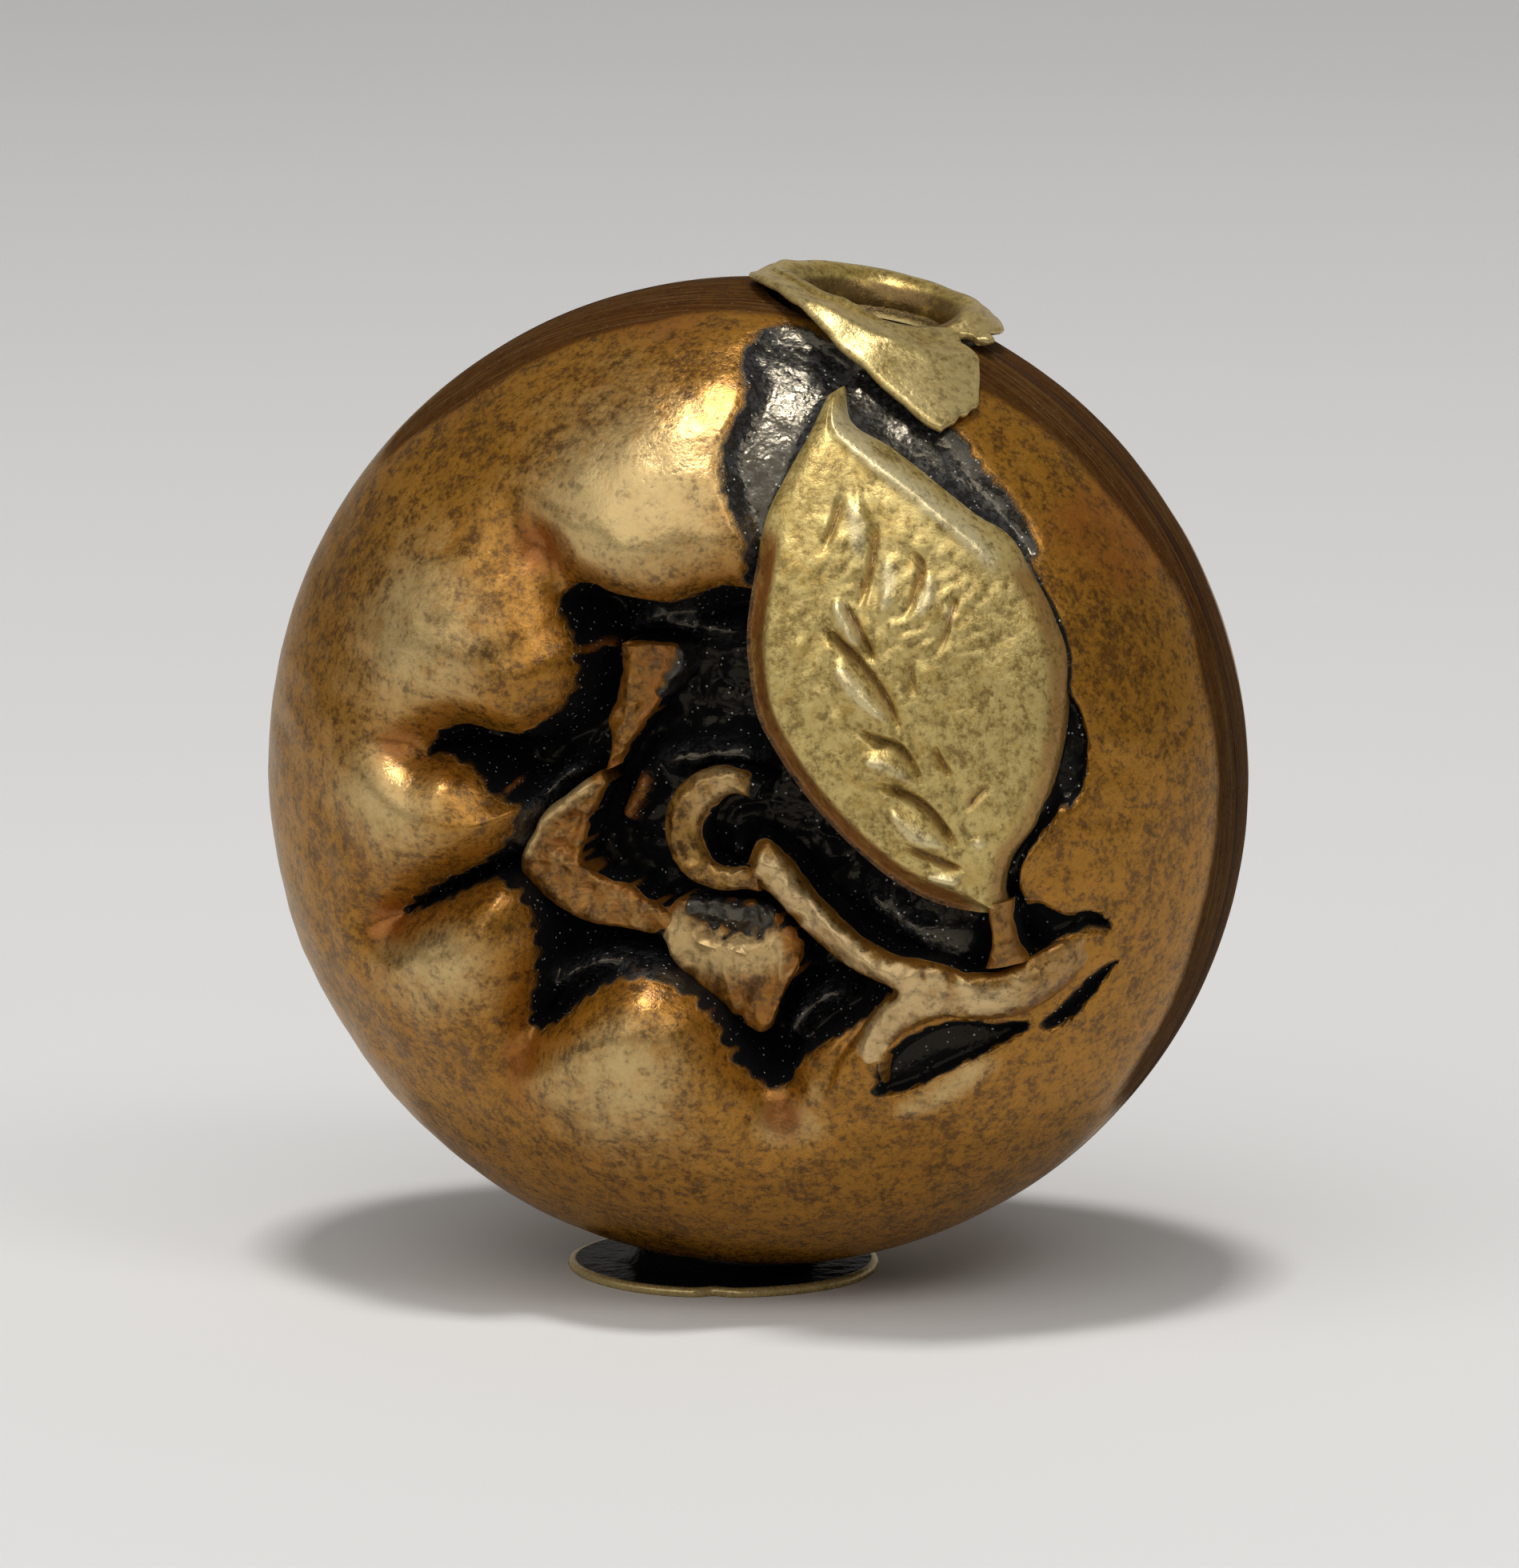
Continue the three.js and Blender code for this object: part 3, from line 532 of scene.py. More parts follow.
@dataclass(frozen=True)
class FaceForm:
    """The embossed face: lobes round a deep pit, creases between them, and channels by the leaf."""

    body: BeadBody
    floor_level: float = 3.15
    roll: float = 1.2
    roll_power: float = 2.4
    lip_drop: float = 0.8
    wall_run: float = 0.55
    bed_drop: float = 0.2
    bed_edge: Span = (-0.05, 0.3)
    twig_climb: Span = (2.4, 5.2)
    twig_bed: float = 0.95
    floor_play: float = 0.15
    lobes: Sequence[Lobe] = (
        Lobe(-0.8, 5.5, 0.5, 1.9),
        Lobe(-4.3, 3.1, 0.4, 1.6),
        Lobe(-5.0, 0.2, 0.36, 1.35),
        Lobe(-4.1, -2.5, 0.36, 1.3),
        Lobe(-0.9, -4.3, 0.4, 1.6),
    )
    pit_knots: Knots = (
        (1.5, 4.0), (1.32, 4.05), (0.92, 4.1), (0.6, 4.06), (0.0, 3.82), (-0.6, 3.86),
        (-1.08, 3.94), (-1.48, 4.06), (-1.85, 4.0), (-2.1, 3.8), (-2.0, 3.38), (-1.8, 3.06),
        (-1.72, 2.58), (-1.88, 2.1), (-2.28, 1.7), (-2.68, 1.46), (-3.16, 1.46), (-3.8, 1.54),
        (-4.2, 1.38), (-4.48, 0.98), (-3.96, 0.94), (-3.56, 0.74), (-3.16, 0.34), (-2.76, 0.12),
        (-2.84, -0.12), (-3.0, -0.42), (-3.34, -0.74), (-3.8, -1.02), (-4.28, -1.28),
        (-4.76, -1.58), (-5.04, -1.9), (-4.4, -1.66), (-3.8, -1.36), (-3.3, -1.16), (-2.9, -1.2),
        (-2.64, -1.5), (-2.48, -2.06), (-2.5, -2.7), (-2.68, -3.34), (-2.64, -3.7), (-2.28, -3.66),
        (-1.88, -3.34), (-1.4, -2.94), (-0.92, -2.7), (-0.36, -2.66), (0.2, -2.9), (0.6, -3.22),
        (0.88, -3.82), (1.16, -4.24), (1.5, -4.55), (1.85, -4.45), (2.04, -4.14), (2.6, -3.66),
        (3.24, -3.26), (3.72, -2.82), (4.4, -2.7), (5.1, -2.75), (5.7, -2.5), (5.75, -2.05),
        (5.5, -1.4), (4.9, -1.0), (4.2, -0.6), (3.6, -0.1), (3.05, 0.5), (2.55, 1.1), (2.1, 1.8),
        (1.8, 2.5), (1.62, 3.2),
    )
    creases: Sequence[Stroke] = (
        Stroke(((-1.9, 3.6), (-2.25, 4.3), (-2.7, 4.9), (-3.3, 5.6)), 0.6, -0.62, 0.55),
        Stroke(((-4.2, 1.2), (-4.9, 1.15), (-5.9, 1.35)), 0.42, -0.3, 0.6),
        Stroke(((-4.6, -1.6), (-5.3, -2.0), (-6.2, -2.6)), 0.55, -0.3, 0.6),
        Stroke(((-2.6, -3.3), (-2.8, -4.2), (-3.2, -5.3)), 0.5, -0.36, 0.6),
        Stroke(((1.5, -4.2), (1.8, -5.0), (2.3, -5.8)), 0.5, -0.25, 0.6),
    )
    channels: Sequence[Stroke] = (
        Stroke(((2.55, -4.7), (2.75, -4.0), (3.2, -3.4), (3.8, -2.85)), 0.11, -0.14, 0.2),
        Stroke(((1.5, -7.25), (2.3, -7.0), (3.1, -6.65)), 0.3, 0.06, 0.4),
        Stroke(((-3.1, -4.9), (-2.4, -5.2), (-1.6, -5.1)), 0.4, -0.08, 0.4),
        Stroke(((3.1, 7.1), (4.1, 6.3), (5.1, 5.55), (5.95, 4.75)), 0.22, 0.05, 0.3),
    )
    # The glossy patches also carry a painted grey sheen, through the sheen mask.
    glossy_patches: Sequence[Patch] = (
        Patch(
            (
                (0.83, 8.15), (0.63, 7.95), (0.62, 7.6), (0.85, 7.25), (0.78, 6.8), (0.68, 6.35),
                (0.78, 5.88), (1.0, 5.38), (1.19, 5.0), (1.28, 4.63), (1.2, 4.1), (1.6, 4.1),
                (1.75, 5.2), (1.95, 5.9), (2.15, 6.6), (2.3, 7.0), (2.5, 7.3), (2.4, 7.6),
                (1.9, 8.0), (1.2, 8.2),
            ),
            0.36, 0.2,
        ),
        Patch(
            (
                (1.7, 7.8), (2.1, 7.85), (2.7, 7.6), (3.3, 7.25), (3.9, 6.85), (4.4, 6.5),
                (4.8, 6.05), (5.3, 5.55), (5.62, 5.12), (5.86, 4.6), (5.7, 4.5), (5.0, 5.1),
                (4.2, 5.7), (3.7, 5.95), (3.2, 6.25), (2.7, 6.7), (2.2, 7.1),
            ),
            0.3, 0.16,
        ),
    )
    sooty_patches: Sequence[Patch] = (
        Patch(
            (
                (6.4, 2.4), (6.6, 2.3), (6.74, 2.05), (6.82, 1.8), (6.87, 1.45), (6.86, 1.05),
                (6.78, 0.62), (6.6, 0.48), (6.35, 0.5), (6.2, 1.1), (6.3, 1.8),
            ),
            0.42,
        ),
        Patch(
            (
                (6.45, 0.62), (6.25, 0.4), (5.9, 0.0), (5.6, -0.5), (5.45, -0.95), (5.55, -1.28),
                (5.95, -1.28), (5.9, -0.81), (6.0, -0.41), (6.22, 0.0), (6.48, 0.35),
            ),
            0.36, 0.08,
        ),
        Patch(
            (
                (5.8, -1.3), (6.16, -1.18), (6.55, -1.4), (6.95, -1.36), (7.2, -1.74), (6.8, -1.7),
                (6.41, -1.84), (6.06, -2.1), (5.74, -2.05), (5.72, -1.6),
            ),
            0.42, 0.08,
        ),
        Patch(
            (
                (6.05, -3.4), (6.45, -2.98), (6.8, -2.6), (7.25, -2.3), (7.0, -2.7), (6.65, -3.16),
                (6.25, -3.46),
            ),
            0.36, 0.08,
        ),
        Patch(
            (
                (3.48, -4.55), (3.5, -4.09), (3.72, -3.76), (4.26, -3.36), (4.79, -3.22),
                (5.27, -3.3), (5.95, -3.32), (5.48, -3.69), (4.59, -4.13), (3.94, -4.48),
            ),
            0.44,
        ),
    )
    ridges: Sequence[Stroke] = (
        Stroke(((-1.4, 3.2), (-0.6, 3.32), (0.3, 3.2), (1.1, 3.1)), 0.26, 0.6),
        Stroke(
            ((-2.6, -3.5), (-2.15, -2.9), (-1.5, -2.5), (-0.8, -2.5), (-0.2, -2.8), (0.5, -3.5)),
            0.24, 1.25,
        ),
        Stroke(((1.75, -3.95), (1.95, -3.4), (2.45, -2.98), (3.0, -2.85)), 0.26, 1.0),
        Stroke(((-3.0, -1.0), (-2.75, -0.2), (-2.3, 0.5), (-1.7, 0.95)), 0.22, 1.0),
        Stroke(((2.75, -0.95), (3.5, -1.45), (4.3, -1.8), (5.2, -2.15)), 0.3, 0.5),
        Stroke(((-0.8, 0.85), (0.1, 1.1), (0.9, 1.15), (1.5, 0.95)), 0.22, 0.75),
    )
    crumbs: Sequence[Stroke] = (
        Stroke(((-1.7, 2.75), (-1.5, 2.95), (-1.2, 2.8)), 0.12, 0.8),
        Stroke(((-3.1, 0.35), (-2.9, 0.6)), 0.1, 0.9),
        Stroke(((-1.2, -0.3), (-0.9, 0.3), (-0.6, 0.9)), 0.25, 0.7),
    )
    # Painted highlights: strokes of the worn colour below the pit's lower lip and by the fork,
    # where light catches.
    pale: Sequence[Stroke] = (
        Stroke(((1.0, -5.25), (1.9, -5.15), (3.0, -5.0)), 0.42, 0.55, 0.4),
        Stroke(((3.4, -5.05), (4.4, -4.6), (5.7, -3.65)), 0.26, 0.65, 0.3),
        Stroke(((2.7, -4.0), (2.2, -4.9)), 0.24, 0.4, 0.4),
    )
    warm: Sequence[Stroke] = (
        Stroke(((5.65, 5.86), (6.39, 5.12), (6.99, 4.37), (7.61, 3.25)), 0.75, 0.6, 0.3),
        Stroke(((-2.7, 8.0), (-1.3, 8.2), (0.4, 8.0)), 0.5, 0.5, 0.3),
        Stroke(((-5.2, 6.0), (-4.8, 6.7), (-4.1, 7.3)), 0.6, 0.4, 0.3),
        Stroke(((-3.2, -3.9), (-2.9, -4.8), (-2.7, -5.5)), 0.5, 0.45, 0.3),
    )
    mound: Lobe = Lobe(0.1, 0.3, 0.8, 1.2)
    nub: Lobe = Lobe(0.9, -0.5, 0.75, 0.22)
    broad: Unevenness = Unevenness(11, 3.2, 0.03)
    hammered: Unevenness = Unevenness(12, 0.9, 0.012)
    crumple: Unevenness = Unevenness(13, 0.8, 0.055)
    wrinkle: Unevenness = Unevenness(14, 0.3, 0.012)
    fray: Unevenness = Unevenness(15, 0.32, 0.022)

    @property
    def pit(self) -> Run:
        """The pit's edge."""
        return Run.drawn(self.pit_knots, closed=True)

    @property
    def patches(self) -> Sequence[Patch]:
        """Every blackened hollow."""
        return (*self.glossy_patches, *self.sooty_patches)

    def folds(self, x: Array, z: Array) -> Array:
        """The height of the creases and channels at each place."""
        return relief((*self.creases, *self.channels), x, z)

    def swelling(self, x: Array, z: Array) -> Array:
        """The pillows' height at each place, blended where they meet."""
        shares = np.array([lobe.relief(x, z) for lobe in self.lobes])
        return np.sum(shares**3, axis=0) ** (1 / 3)

    def floor(self, x: Array, z: Array) -> Array:
        """The pit's floor: crumpled, with a mound under the calyx, and rising under the twig."""
        climbing = smooth(x, *self.twig_climb)
        level = mix(self.floor_level, self.body.dome(x, z) - self.twig_bed, climbing)
        for hump in (self.mound, self.nub):
            level = level + hump.relief(x, z)
        level = level + relief((*self.ridges, *self.crumbs), x, z)
        return level + (np.abs(self.crumple.on_face(x, z)) + self.wrinkle.on_face(x, z))

    def rolled(self, height: Array, depth: Array) -> Array:
        """A height that rolls down toward the pit's edge."""
        share = np.clip(1 + depth / self.roll, 0.0, 1.0) ** self.roll_power
        return height - self.lip_drop * share

    def height(self, x: Array, z: Array, leaf: Run) -> Array:
        """The face's outer height over the front shell's rim.

        Args:
            x: Places across the face.
            z: Places up the face, of the same shape.
            leaf: The leaf's outline, under which the face is flat.

        Returns:
            The height at each place.
        """
        dome = self.body.dome(x, z)
        hammer = self.broad.on_face(x, z) + self.hammered.on_face(x, z)
        pillow = dome + smooth(dome, *self.body.rim_fade) * (self.swelling(x, z) + hammer)
        pillow = pillow + self.folds(x, z)
        for patch in self.patches:
            pillow = pillow - patch.drop * patch.share(x, z, -0.5 * patch.soft)
        bed = smooth(leaf.depth_inside(x, z, 1.0), *self.bed_edge)
        pillow = mix(pillow, dome - self.bed_drop, bed)
        depth = self.pit.depth_inside(x, z, 2.0)
        lip = self.rolled(pillow, depth)
        down = 1 - (1 - np.clip(depth / self.wall_run, 0.0, 1.0)) ** 2
        return np.maximum(0.0, mix(lip, np.minimum(self.floor(x, z), lip), down))

    def inner_height(self, x: Array, z: Array) -> Array:
        """The face's inner height, a wall or more under the outer one."""
        wall = self.body.wall
        dome = self.body.dome(x, z, wall)
        lobed = dome + self.folds(x, z) * smooth(dome, *self.body.rim_fade)
        depth = self.pit.depth_inside(x, z) + wall
        lip = self.rolled(lobed, depth)
        floor = np.minimum(self.floor_level - wall - self.floor_play, lip)
        return np.maximum(0.0, mix(lip, floor, smooth(depth, 0.0, self.wall_run)))


def linked(name: str, data: bpy.types.ID) -> bpy.types.Object:
    """An object of some data, in the scene."""
    made = bpy.data.objects.new(name, data)
    bpy.context.scene.collection.objects.link(made)
    return made


def mesh_points(mesh: bpy.types.Mesh) -> Array:
    """A mesh's points, one row each."""
    flat = np.zeros(len(mesh.vertices) * 3)
    mesh.vertices.foreach_get("co", flat)
    return flat.reshape(-1, 3)


@dataclass
class Bench:
    """Settles finished drafts in the row frame, in metres, as pieces of the bead.

    An edge that turns by more than the crisp angle stays sharp.
    """

    origin: Vector
    scale: float
    crisp_angle: float = math.radians(55)
    made: list[bpy.types.Object] = field(default_factory=list)

    @classmethod
    def by_front_shell(cls, body: BeadBody) -> "Bench":
        """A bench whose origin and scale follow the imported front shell's box."""
        low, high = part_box("front_shell")
        radius = (high.x - low.x) / 2
        swell = body.swell * radius
        across = (low.x + high.x) / 2 - swell * math.cos(body.swell_angle)
        up = high.z - radius - swell * math.sin(body.swell_angle)
        return cls(Vector((across, 0.0, up)), radius / body.radius)

    def reach(self, node: bpy.types.Object, way: Array) -> float:
        """How far a CAD node reaches along a way from the bead's middle, in face millimetres."""
        points = (mesh_points(node.data) - np.array(self.origin)) / self.scale
        return float((points @ way).max())

    def raw(self, name: str, draft: Draft) -> bpy.types.Object:
        """An object of a draft, still in face millimetres, with its faces turned out."""
        mesh = bpy.data.meshes.new(name)
        mesh.from_pydata(draft.points.tolist(), [], draft.faces)
        shape = bmesh.new()
        shape.from_mesh(mesh)
        bmesh.ops.recalc_face_normals(shape, faces=shape.faces)
        shape.to_mesh(mesh)
        shape.free()
        return linked(name, mesh)

    def worked(self, piece: bpy.types.Object) -> None:
        """Makes a piece's modifiers part of its mesh."""
        graph = bpy.context.evaluated_depsgraph_get()
        done = bpy.data.meshes.new_from_object(piece.evaluated_get(graph))
        piece.modifiers.clear()
        old = piece.data
        piece.data = done
        bpy.data.meshes.remove(old)
        done.name = piece.name

    def cut(self, piece: bpy.types.Object, draft: Draft) -> None:
        """Cuts a closed form out of a piece."""
        cutter = self.raw(piece.name + "_cut", draft)
        modifier = piece.modifiers.new("cut", "BOOLEAN")
        modifier.object = cutter
        modifier.operation = "DIFFERENCE"
        modifier.solver = "MANIFOLD"
        self.worked(piece)
        spent = cutter.data
        bpy.data.objects.remove(cutter)
        bpy.data.meshes.remove(spent)

    def melt(self, piece: bpy.types.Object, grain: float, rounds: int) -> None:
        """Joins a piece's overlapping forms into one skin and softens it."""
        remesh = piece.modifiers.new("melt", "REMESH")
        remesh.mode = "VOXEL"
        remesh.voxel_size = grain
        soften = piece.modifiers.new("soften", "SMOOTH")
        soften.factor = 0.5
        soften.iterations = rounds
        self.worked(piece)

    def settle(
        self,
        piece: bpy.types.Object,
        node: str,
        material: bpy.types.Material,
        masks: Callable[[Array], Mapping[str, Array]],
    ) -> None:
        """Paints a piece, moves it to the row frame and lets it stand for its CAD node.

        Args:
            piece: The piece, in face millimetres.
            node: The CAD node that it stands for.
            material: Its finish.
            masks: Gives the share of each patina at the piece's points.
        """
        mesh = piece.data
        points = mesh_points(mesh)
        for name, share in masks(points).items():
            layer = mesh.attributes.new(name, "FLOAT", "POINT")
            layer.data.foreach_set("value", np.clip(share, 0, 1).astype(np.float32))
        settled = points * self.scale + np.array(self.origin)
        mesh.vertices.foreach_set("co", settled.reshape(-1))
        mesh.update()
        mesh.shade_smooth()
        mesh.set_sharp_from_angle(angle=self.crisp_angle)
        mesh.materials.clear()
        mesh.materials.append(material)
        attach(piece, "root")
        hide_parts(node)
        self.made.append(piece)
        LOG.info("%s: %d points for %s", piece.name, len(mesh.vertices), node)


class BeadPiece:
    """A piece of the bead: its form, its patina and the CAD node that it stands for."""

    node: str
    metal: Metal
    word: str

    def draft(self) -> Draft:
        """The piece's form."""
        raise NotImplementedError

    def masks(self, points: Array) -> dict[str, Array]:
        """The share of each patina at the piece's points."""
        raise NotImplementedError

    def work(self, bench: Bench, piece: bpy.types.Object) -> None:
        """Cuts or melts the raw piece, where it needs that."""

    def build(self, bench: Bench, material: bpy.types.Material) -> None:
        """Makes the piece and settles it."""
        piece = bench.raw(f"{self.node}_{self.word}", self.draft())
        self.work(bench, piece)
        bench.settle(piece, self.node, material, self.masks)


@dataclass(frozen=True)
class FiledBand:
    """The filed side wall along the seam, from the right round to the top.

    The depths are angles round the bead, in degrees, with the band's reach from the seam plane
    there.
    """

    depths: Knots = (
        (-75, 1.1), (-20, 1.3), (0, 1.2), (25, 1.05), (45, 1.4), (60, 1.9), (90, 2.0), (110, 2.45),
        (125, 2.7), (150, 2.4),
    )
    soft: float = 0.35
    start: Span = (-62.0, -20.0)
    end: Span = (122.0, 152.0)
    uneven: Unevenness = Unevenness(21, 2.2, 0.06)
    ragged: Unevenness = Unevenness(22, 2.4, 3.5)

    def share(self, points: Array) -> Array:
        """The band's share at points of the shells."""
        x, y, z = points.T
        angle = np.degrees(np.arctan2(z, x))
        edge = looked_up(self.depths, angle) + self.uneven.at(points)
        angle = angle + self.ragged.at(points)
        round_way = smooth(angle, *self.start) * (1 - smooth(angle, *self.end))
        return round_way * (1 - smooth(np.abs(y), edge - self.soft, edge + self.soft))


@dataclass(kw_only=True)
class Shell(BeadPiece):
    """A closed dome-shaped shell, whose rim the cord hole cuts through."""

    bore: Bore
    band: FiledBand = FiledBand()
    spokes: int = 260
    inner_rings: int = 16

    metal = Metal.SHELL
    word = "metal"
    facing = 1

    def rings(self) -> Array:
        """The outer rings' shares of the radius, above 0 and up to 1."""
        raise NotImplementedError

    def outer(self, x: Array, z: Array) -> Array:
        """The outer height over the rim."""
        raise NotImplementedError

    def inner(self, x: Array, z: Array) -> Array:
        """The inner height over the rim."""
        raise NotImplementedError

    def draft(self) -> Draft:
        """The shell before the cord hole is cut."""
        body, spokes = self.bore.body, self.spokes
        angle, middle = circle(spokes), np.zeros(1)
        lining = np.sin(quarter(self.inner_rings))
        skins, faces, rims = [], [], []
        start = 0
        for rings, height, loss in (
            (self.rings(), self.outer, 0.0), (lining, self.inner, body.wall),
        ):
            radius = (body.rim(angle) - loss)[None, :] * rings[:, None]
            x, z = radius * np.cos(angle), radius * np.sin(angle)
            rise = height(x, z)
            rise[-1] = 0.0
            tip = body.points_at(middle, middle, height(middle, middle), self.facing)
            skins += [tip, body.points_at(x, z, rise, self.facing).reshape(-1, 3)]
            first = start + 1
            faces += [[start, first + i, first + (i + 1) % spokes] for i in range(spokes)]
            faces += grid_faces(len(rings), spokes, first, wrap=True)
            start = first + len(rings) * spokes
            rims.append(start - spokes)
        for i in range(spokes):
            after = (i + 1) % spokes
            faces.append([rims[0] + i, rims[0] + after, rims[1] + after, rims[1] + i])
        return Draft(np.vstack(skins), faces)

    def work(self, bench: Bench, piece: bpy.types.Object) -> None:
        """Cuts the cord hole."""
        bench.cut(piece, self.bore.cutter())


@dataclass(kw_only=True)
class FrontShell(Shell):
    """The embossed front shell with the pit in its face."""

    face: FaceForm
    leaf: Run
    spokes: int = 450
    fine_rings: int = 152
    fine_share: float = 0.76
    rim_rings: int = 40
    soot_edge: float = 0.12
    # Where the painted shadow round the leaf's edge fades out
    leaf_edge_shadow_span: Span = (-0.1, -0.02)
    lip_reach: float = 0.5

    node = "front_shell"
    facing = -1

    def rings(self) -> Array:
        """Even rings over the embossed face, and closer ones down to the rim."""
        fine = np.linspace(0, self.fine_share, self.fine_rings + 1)[1:]
        rim = mix(self.fine_share, 1.0, np.sin(quarter(self.rim_rings)))
        return np.concatenate([fine, rim])

    def outer(self, x: Array, z: Array) -> Array:
        """The outer height over the rim."""
        return self.face.height(x, z, self.leaf)

    def inner(self, x: Array, z: Array) -> Array:
        """The inner height over the rim."""
        return self.face.inner_height(x, z)

    def masks(self, points: Array) -> dict[str, Array]:
        """Sooty pit and patches, a painted shadow at the leaf's edge, a painted grey sheen on the
        glossy patches and ridges, rusty creases, worn crests that are partly painted highlight,
        painted highlights below the pit, and the filed band.
        """
        x, _, z = points.T
        face = self.face
        depth = face.pit.depth_inside(x, z)
        fray = face.fray.on_face(x, z)
        crumb = cover(face.crumbs, x, z)
        dark = smooth(depth + fray, -self.soot_edge, self.soot_edge) * (1 - 0.55 * crumb)
        for patch in face.patches:
            dark = np.maximum(dark, patch.share(x, z, fray))
        # Painted shadow: the shell goes dark under the leaf and in a thin line just outside its
        # edge.
        leaf_edge_shadow = smooth(self.leaf.depth_inside(x, z, 1.0) + 0.4 * fray, *self.leaf_edge_shadow_span)
        lip = bell(np.maximum(-depth, 0.0), self.lip_reach)
        dents = cover(face.creases, x, z, 0.8)
        glossy = [patch.share(x, z) for patch in face.glossy_patches]
        # The lobes' crests: partly real rubbing, partly painted highlight where the lobes catch the
        # light.
        crest = face.swelling(x, z) / max(lobe.rise for lobe in face.lobes)
        return {
            "soot": np.maximum(dark, leaf_edge_shadow),
            # A painted grey sheen over the glossy patches and the floor ridges' crests.
            "sheen": np.maximum.reduce([*glossy, cover(face.ridges, x, z, 0.9)]),
            "rust": np.maximum.reduce([0.4 * lip, dents, crumb, relief(face.warm, x, z)]),
            "wear": np.maximum(crest * (1 - 0.6 * lip), relief(face.pale, x, z)),
            "band": self.band.share(points),
        }


@dataclass(kw_only=True)
class BackShell(Shell):
    """The back shell: four soft lobes round a dimple with the blossom's small nib."""

    furrow_share: float = 0.03
    furrow_count: int = 4
    dimple_depth: float = 0.5
    dimple_spread: float = 1.3
    nib_height: float = 0.35
    nib_spread: float = 0.45
    pool_radius: float = 0.75
    pool_width: float = 0.45
    rust_spread: float = 1.8
    outer_rings: int = 96
    uneven: Unevenness = Unevenness(31, 2.6, 0.03)
    hammered: Unevenness = Unevenness(32, 0.8, 0.01)

    node = "back_shell"

    def rings(self) -> Array:
        """Rings that lie closer toward the rim."""
        return np.sin(quarter(self.outer_rings))

    def outer(self, x: Array, z: Array) -> Array:
        """The outer height over the rim, with the nib and the hammer's marks."""
        gap = np.hypot(x, z)
        rough = self.uneven.on_face(x, z) + self.hammered.on_face(x, z)
        rough = rough * smooth(self.bore.body.dome(x, z), *self.bore.body.rim_fade)
        nib = self.nib_height * bell(gap, self.nib_spread)
        return np.maximum(0.0, self.dimpled(x, z, 0.0) + nib + rough)

    def inner(self, x: Array, z: Array) -> Array:
        """The inner height over the rim."""
        return np.maximum(0.0, self.dimpled(x, z, self.bore.body.wall))

    def dimpled(self, x: Array, z: Array, loss: float) -> Array:
        """The furrowed and dimpled dome, with a wall lost all round."""
        gap = np.hypot(x, z)
        reach = gap / self.bore.body.radius
        waves = np.cos(self.furrow_count * np.arctan2(z, x))
        lobes = self.furrow_share * waves * reach * (1 - reach)
        dome = self.bore.body.dome(x, z, loss) * (1 + self.furrow_count * lobes)
        return dome - self.dimple_depth * bell(gap, self.dimple_spread)

    def masks(self, points: Array) -> dict[str, Array]:
        """Soot round the nib, rusty furrows, worn lobes and the filed band."""
        x, _, z = points.T
        gap = np.hypot(x, z)
        waves = np.cos(self.furrow_count * np.arctan2(z, x))
        furrows = (0.5 - 0.5 * waves) * smooth(gap, 0.4, 1.6)
        rusty = 0.5 * furrows * (1 - smooth(gap, 2.5, 6.0))
        worn = 0.45 * (1 - 0.4 * furrows) * smooth(gap, 1.2, 3.0) * (1 - smooth(gap, 4.5, 7.5))
        return {
            "soot": 0.85 * bell(gap - self.pool_radius, self.pool_width),
            "rust": np.maximum(rusty, bell(gap, self.rust_spread)),
            "wear": worn,
            "band": self.band.share(points),
        }


@dataclass(kw_only=True)
class SeamSolder(BeadPiece):
    """An arc of solder between the shells' rims, on one side of the cord hole."""

    bore: Bore
    side: Side
    band: FiledBand = FiledBand()
    gap: float = 0.02
    steps: int = 300
    section: int = 12
    squareness: float = 0.3
    proud: float = 0.015

    metal = Metal.SOLDER
    word = "arc"

    @property
    def node(self) -> str:
        """The CAD node of this side's arc."""
        return f"seam_solder_{self.side.name.lower()}"

    def draft(self) -> Draft:
        """The arc, with a flat face at each end."""
        bore, body = self.bore, self.bore.body
        clear = (bore.shell_hole_radius + self.gap) / body.radius
        start, end = (
            math.atan2(mouth[2], mouth[0]) - way * self.side.value * clear
            for mouth, way in ((bore.foot, -1), (bore.head, 1))
        )
        if self.side is Side.LEFT:
            start, end = end, start + 2 * math.pi
        angle = np.linspace(start, end, self.steps)
        turn = circle(self.section)
        squeeze, flat = (
            np.sign(way) * np.abs(way) ** self.squareness for way in (np.cos(turn), np.sin(turn))
        )
        deep = body.wall / 2
        radius = (body.rim(angle) - deep + self.proud)[:, None] + deep * squeeze[None, :]
        return rod(np.stack([
            radius * np.cos(angle)[:, None],
            np.broadcast_to(body.seam * flat, radius.shape),
            radius * np.sin(angle)[:, None],
        ], axis=-1))

    def masks(self, points: Array) -> dict[str, Array]:
        """The filed band."""
        return {"band": self.band.share(points)}


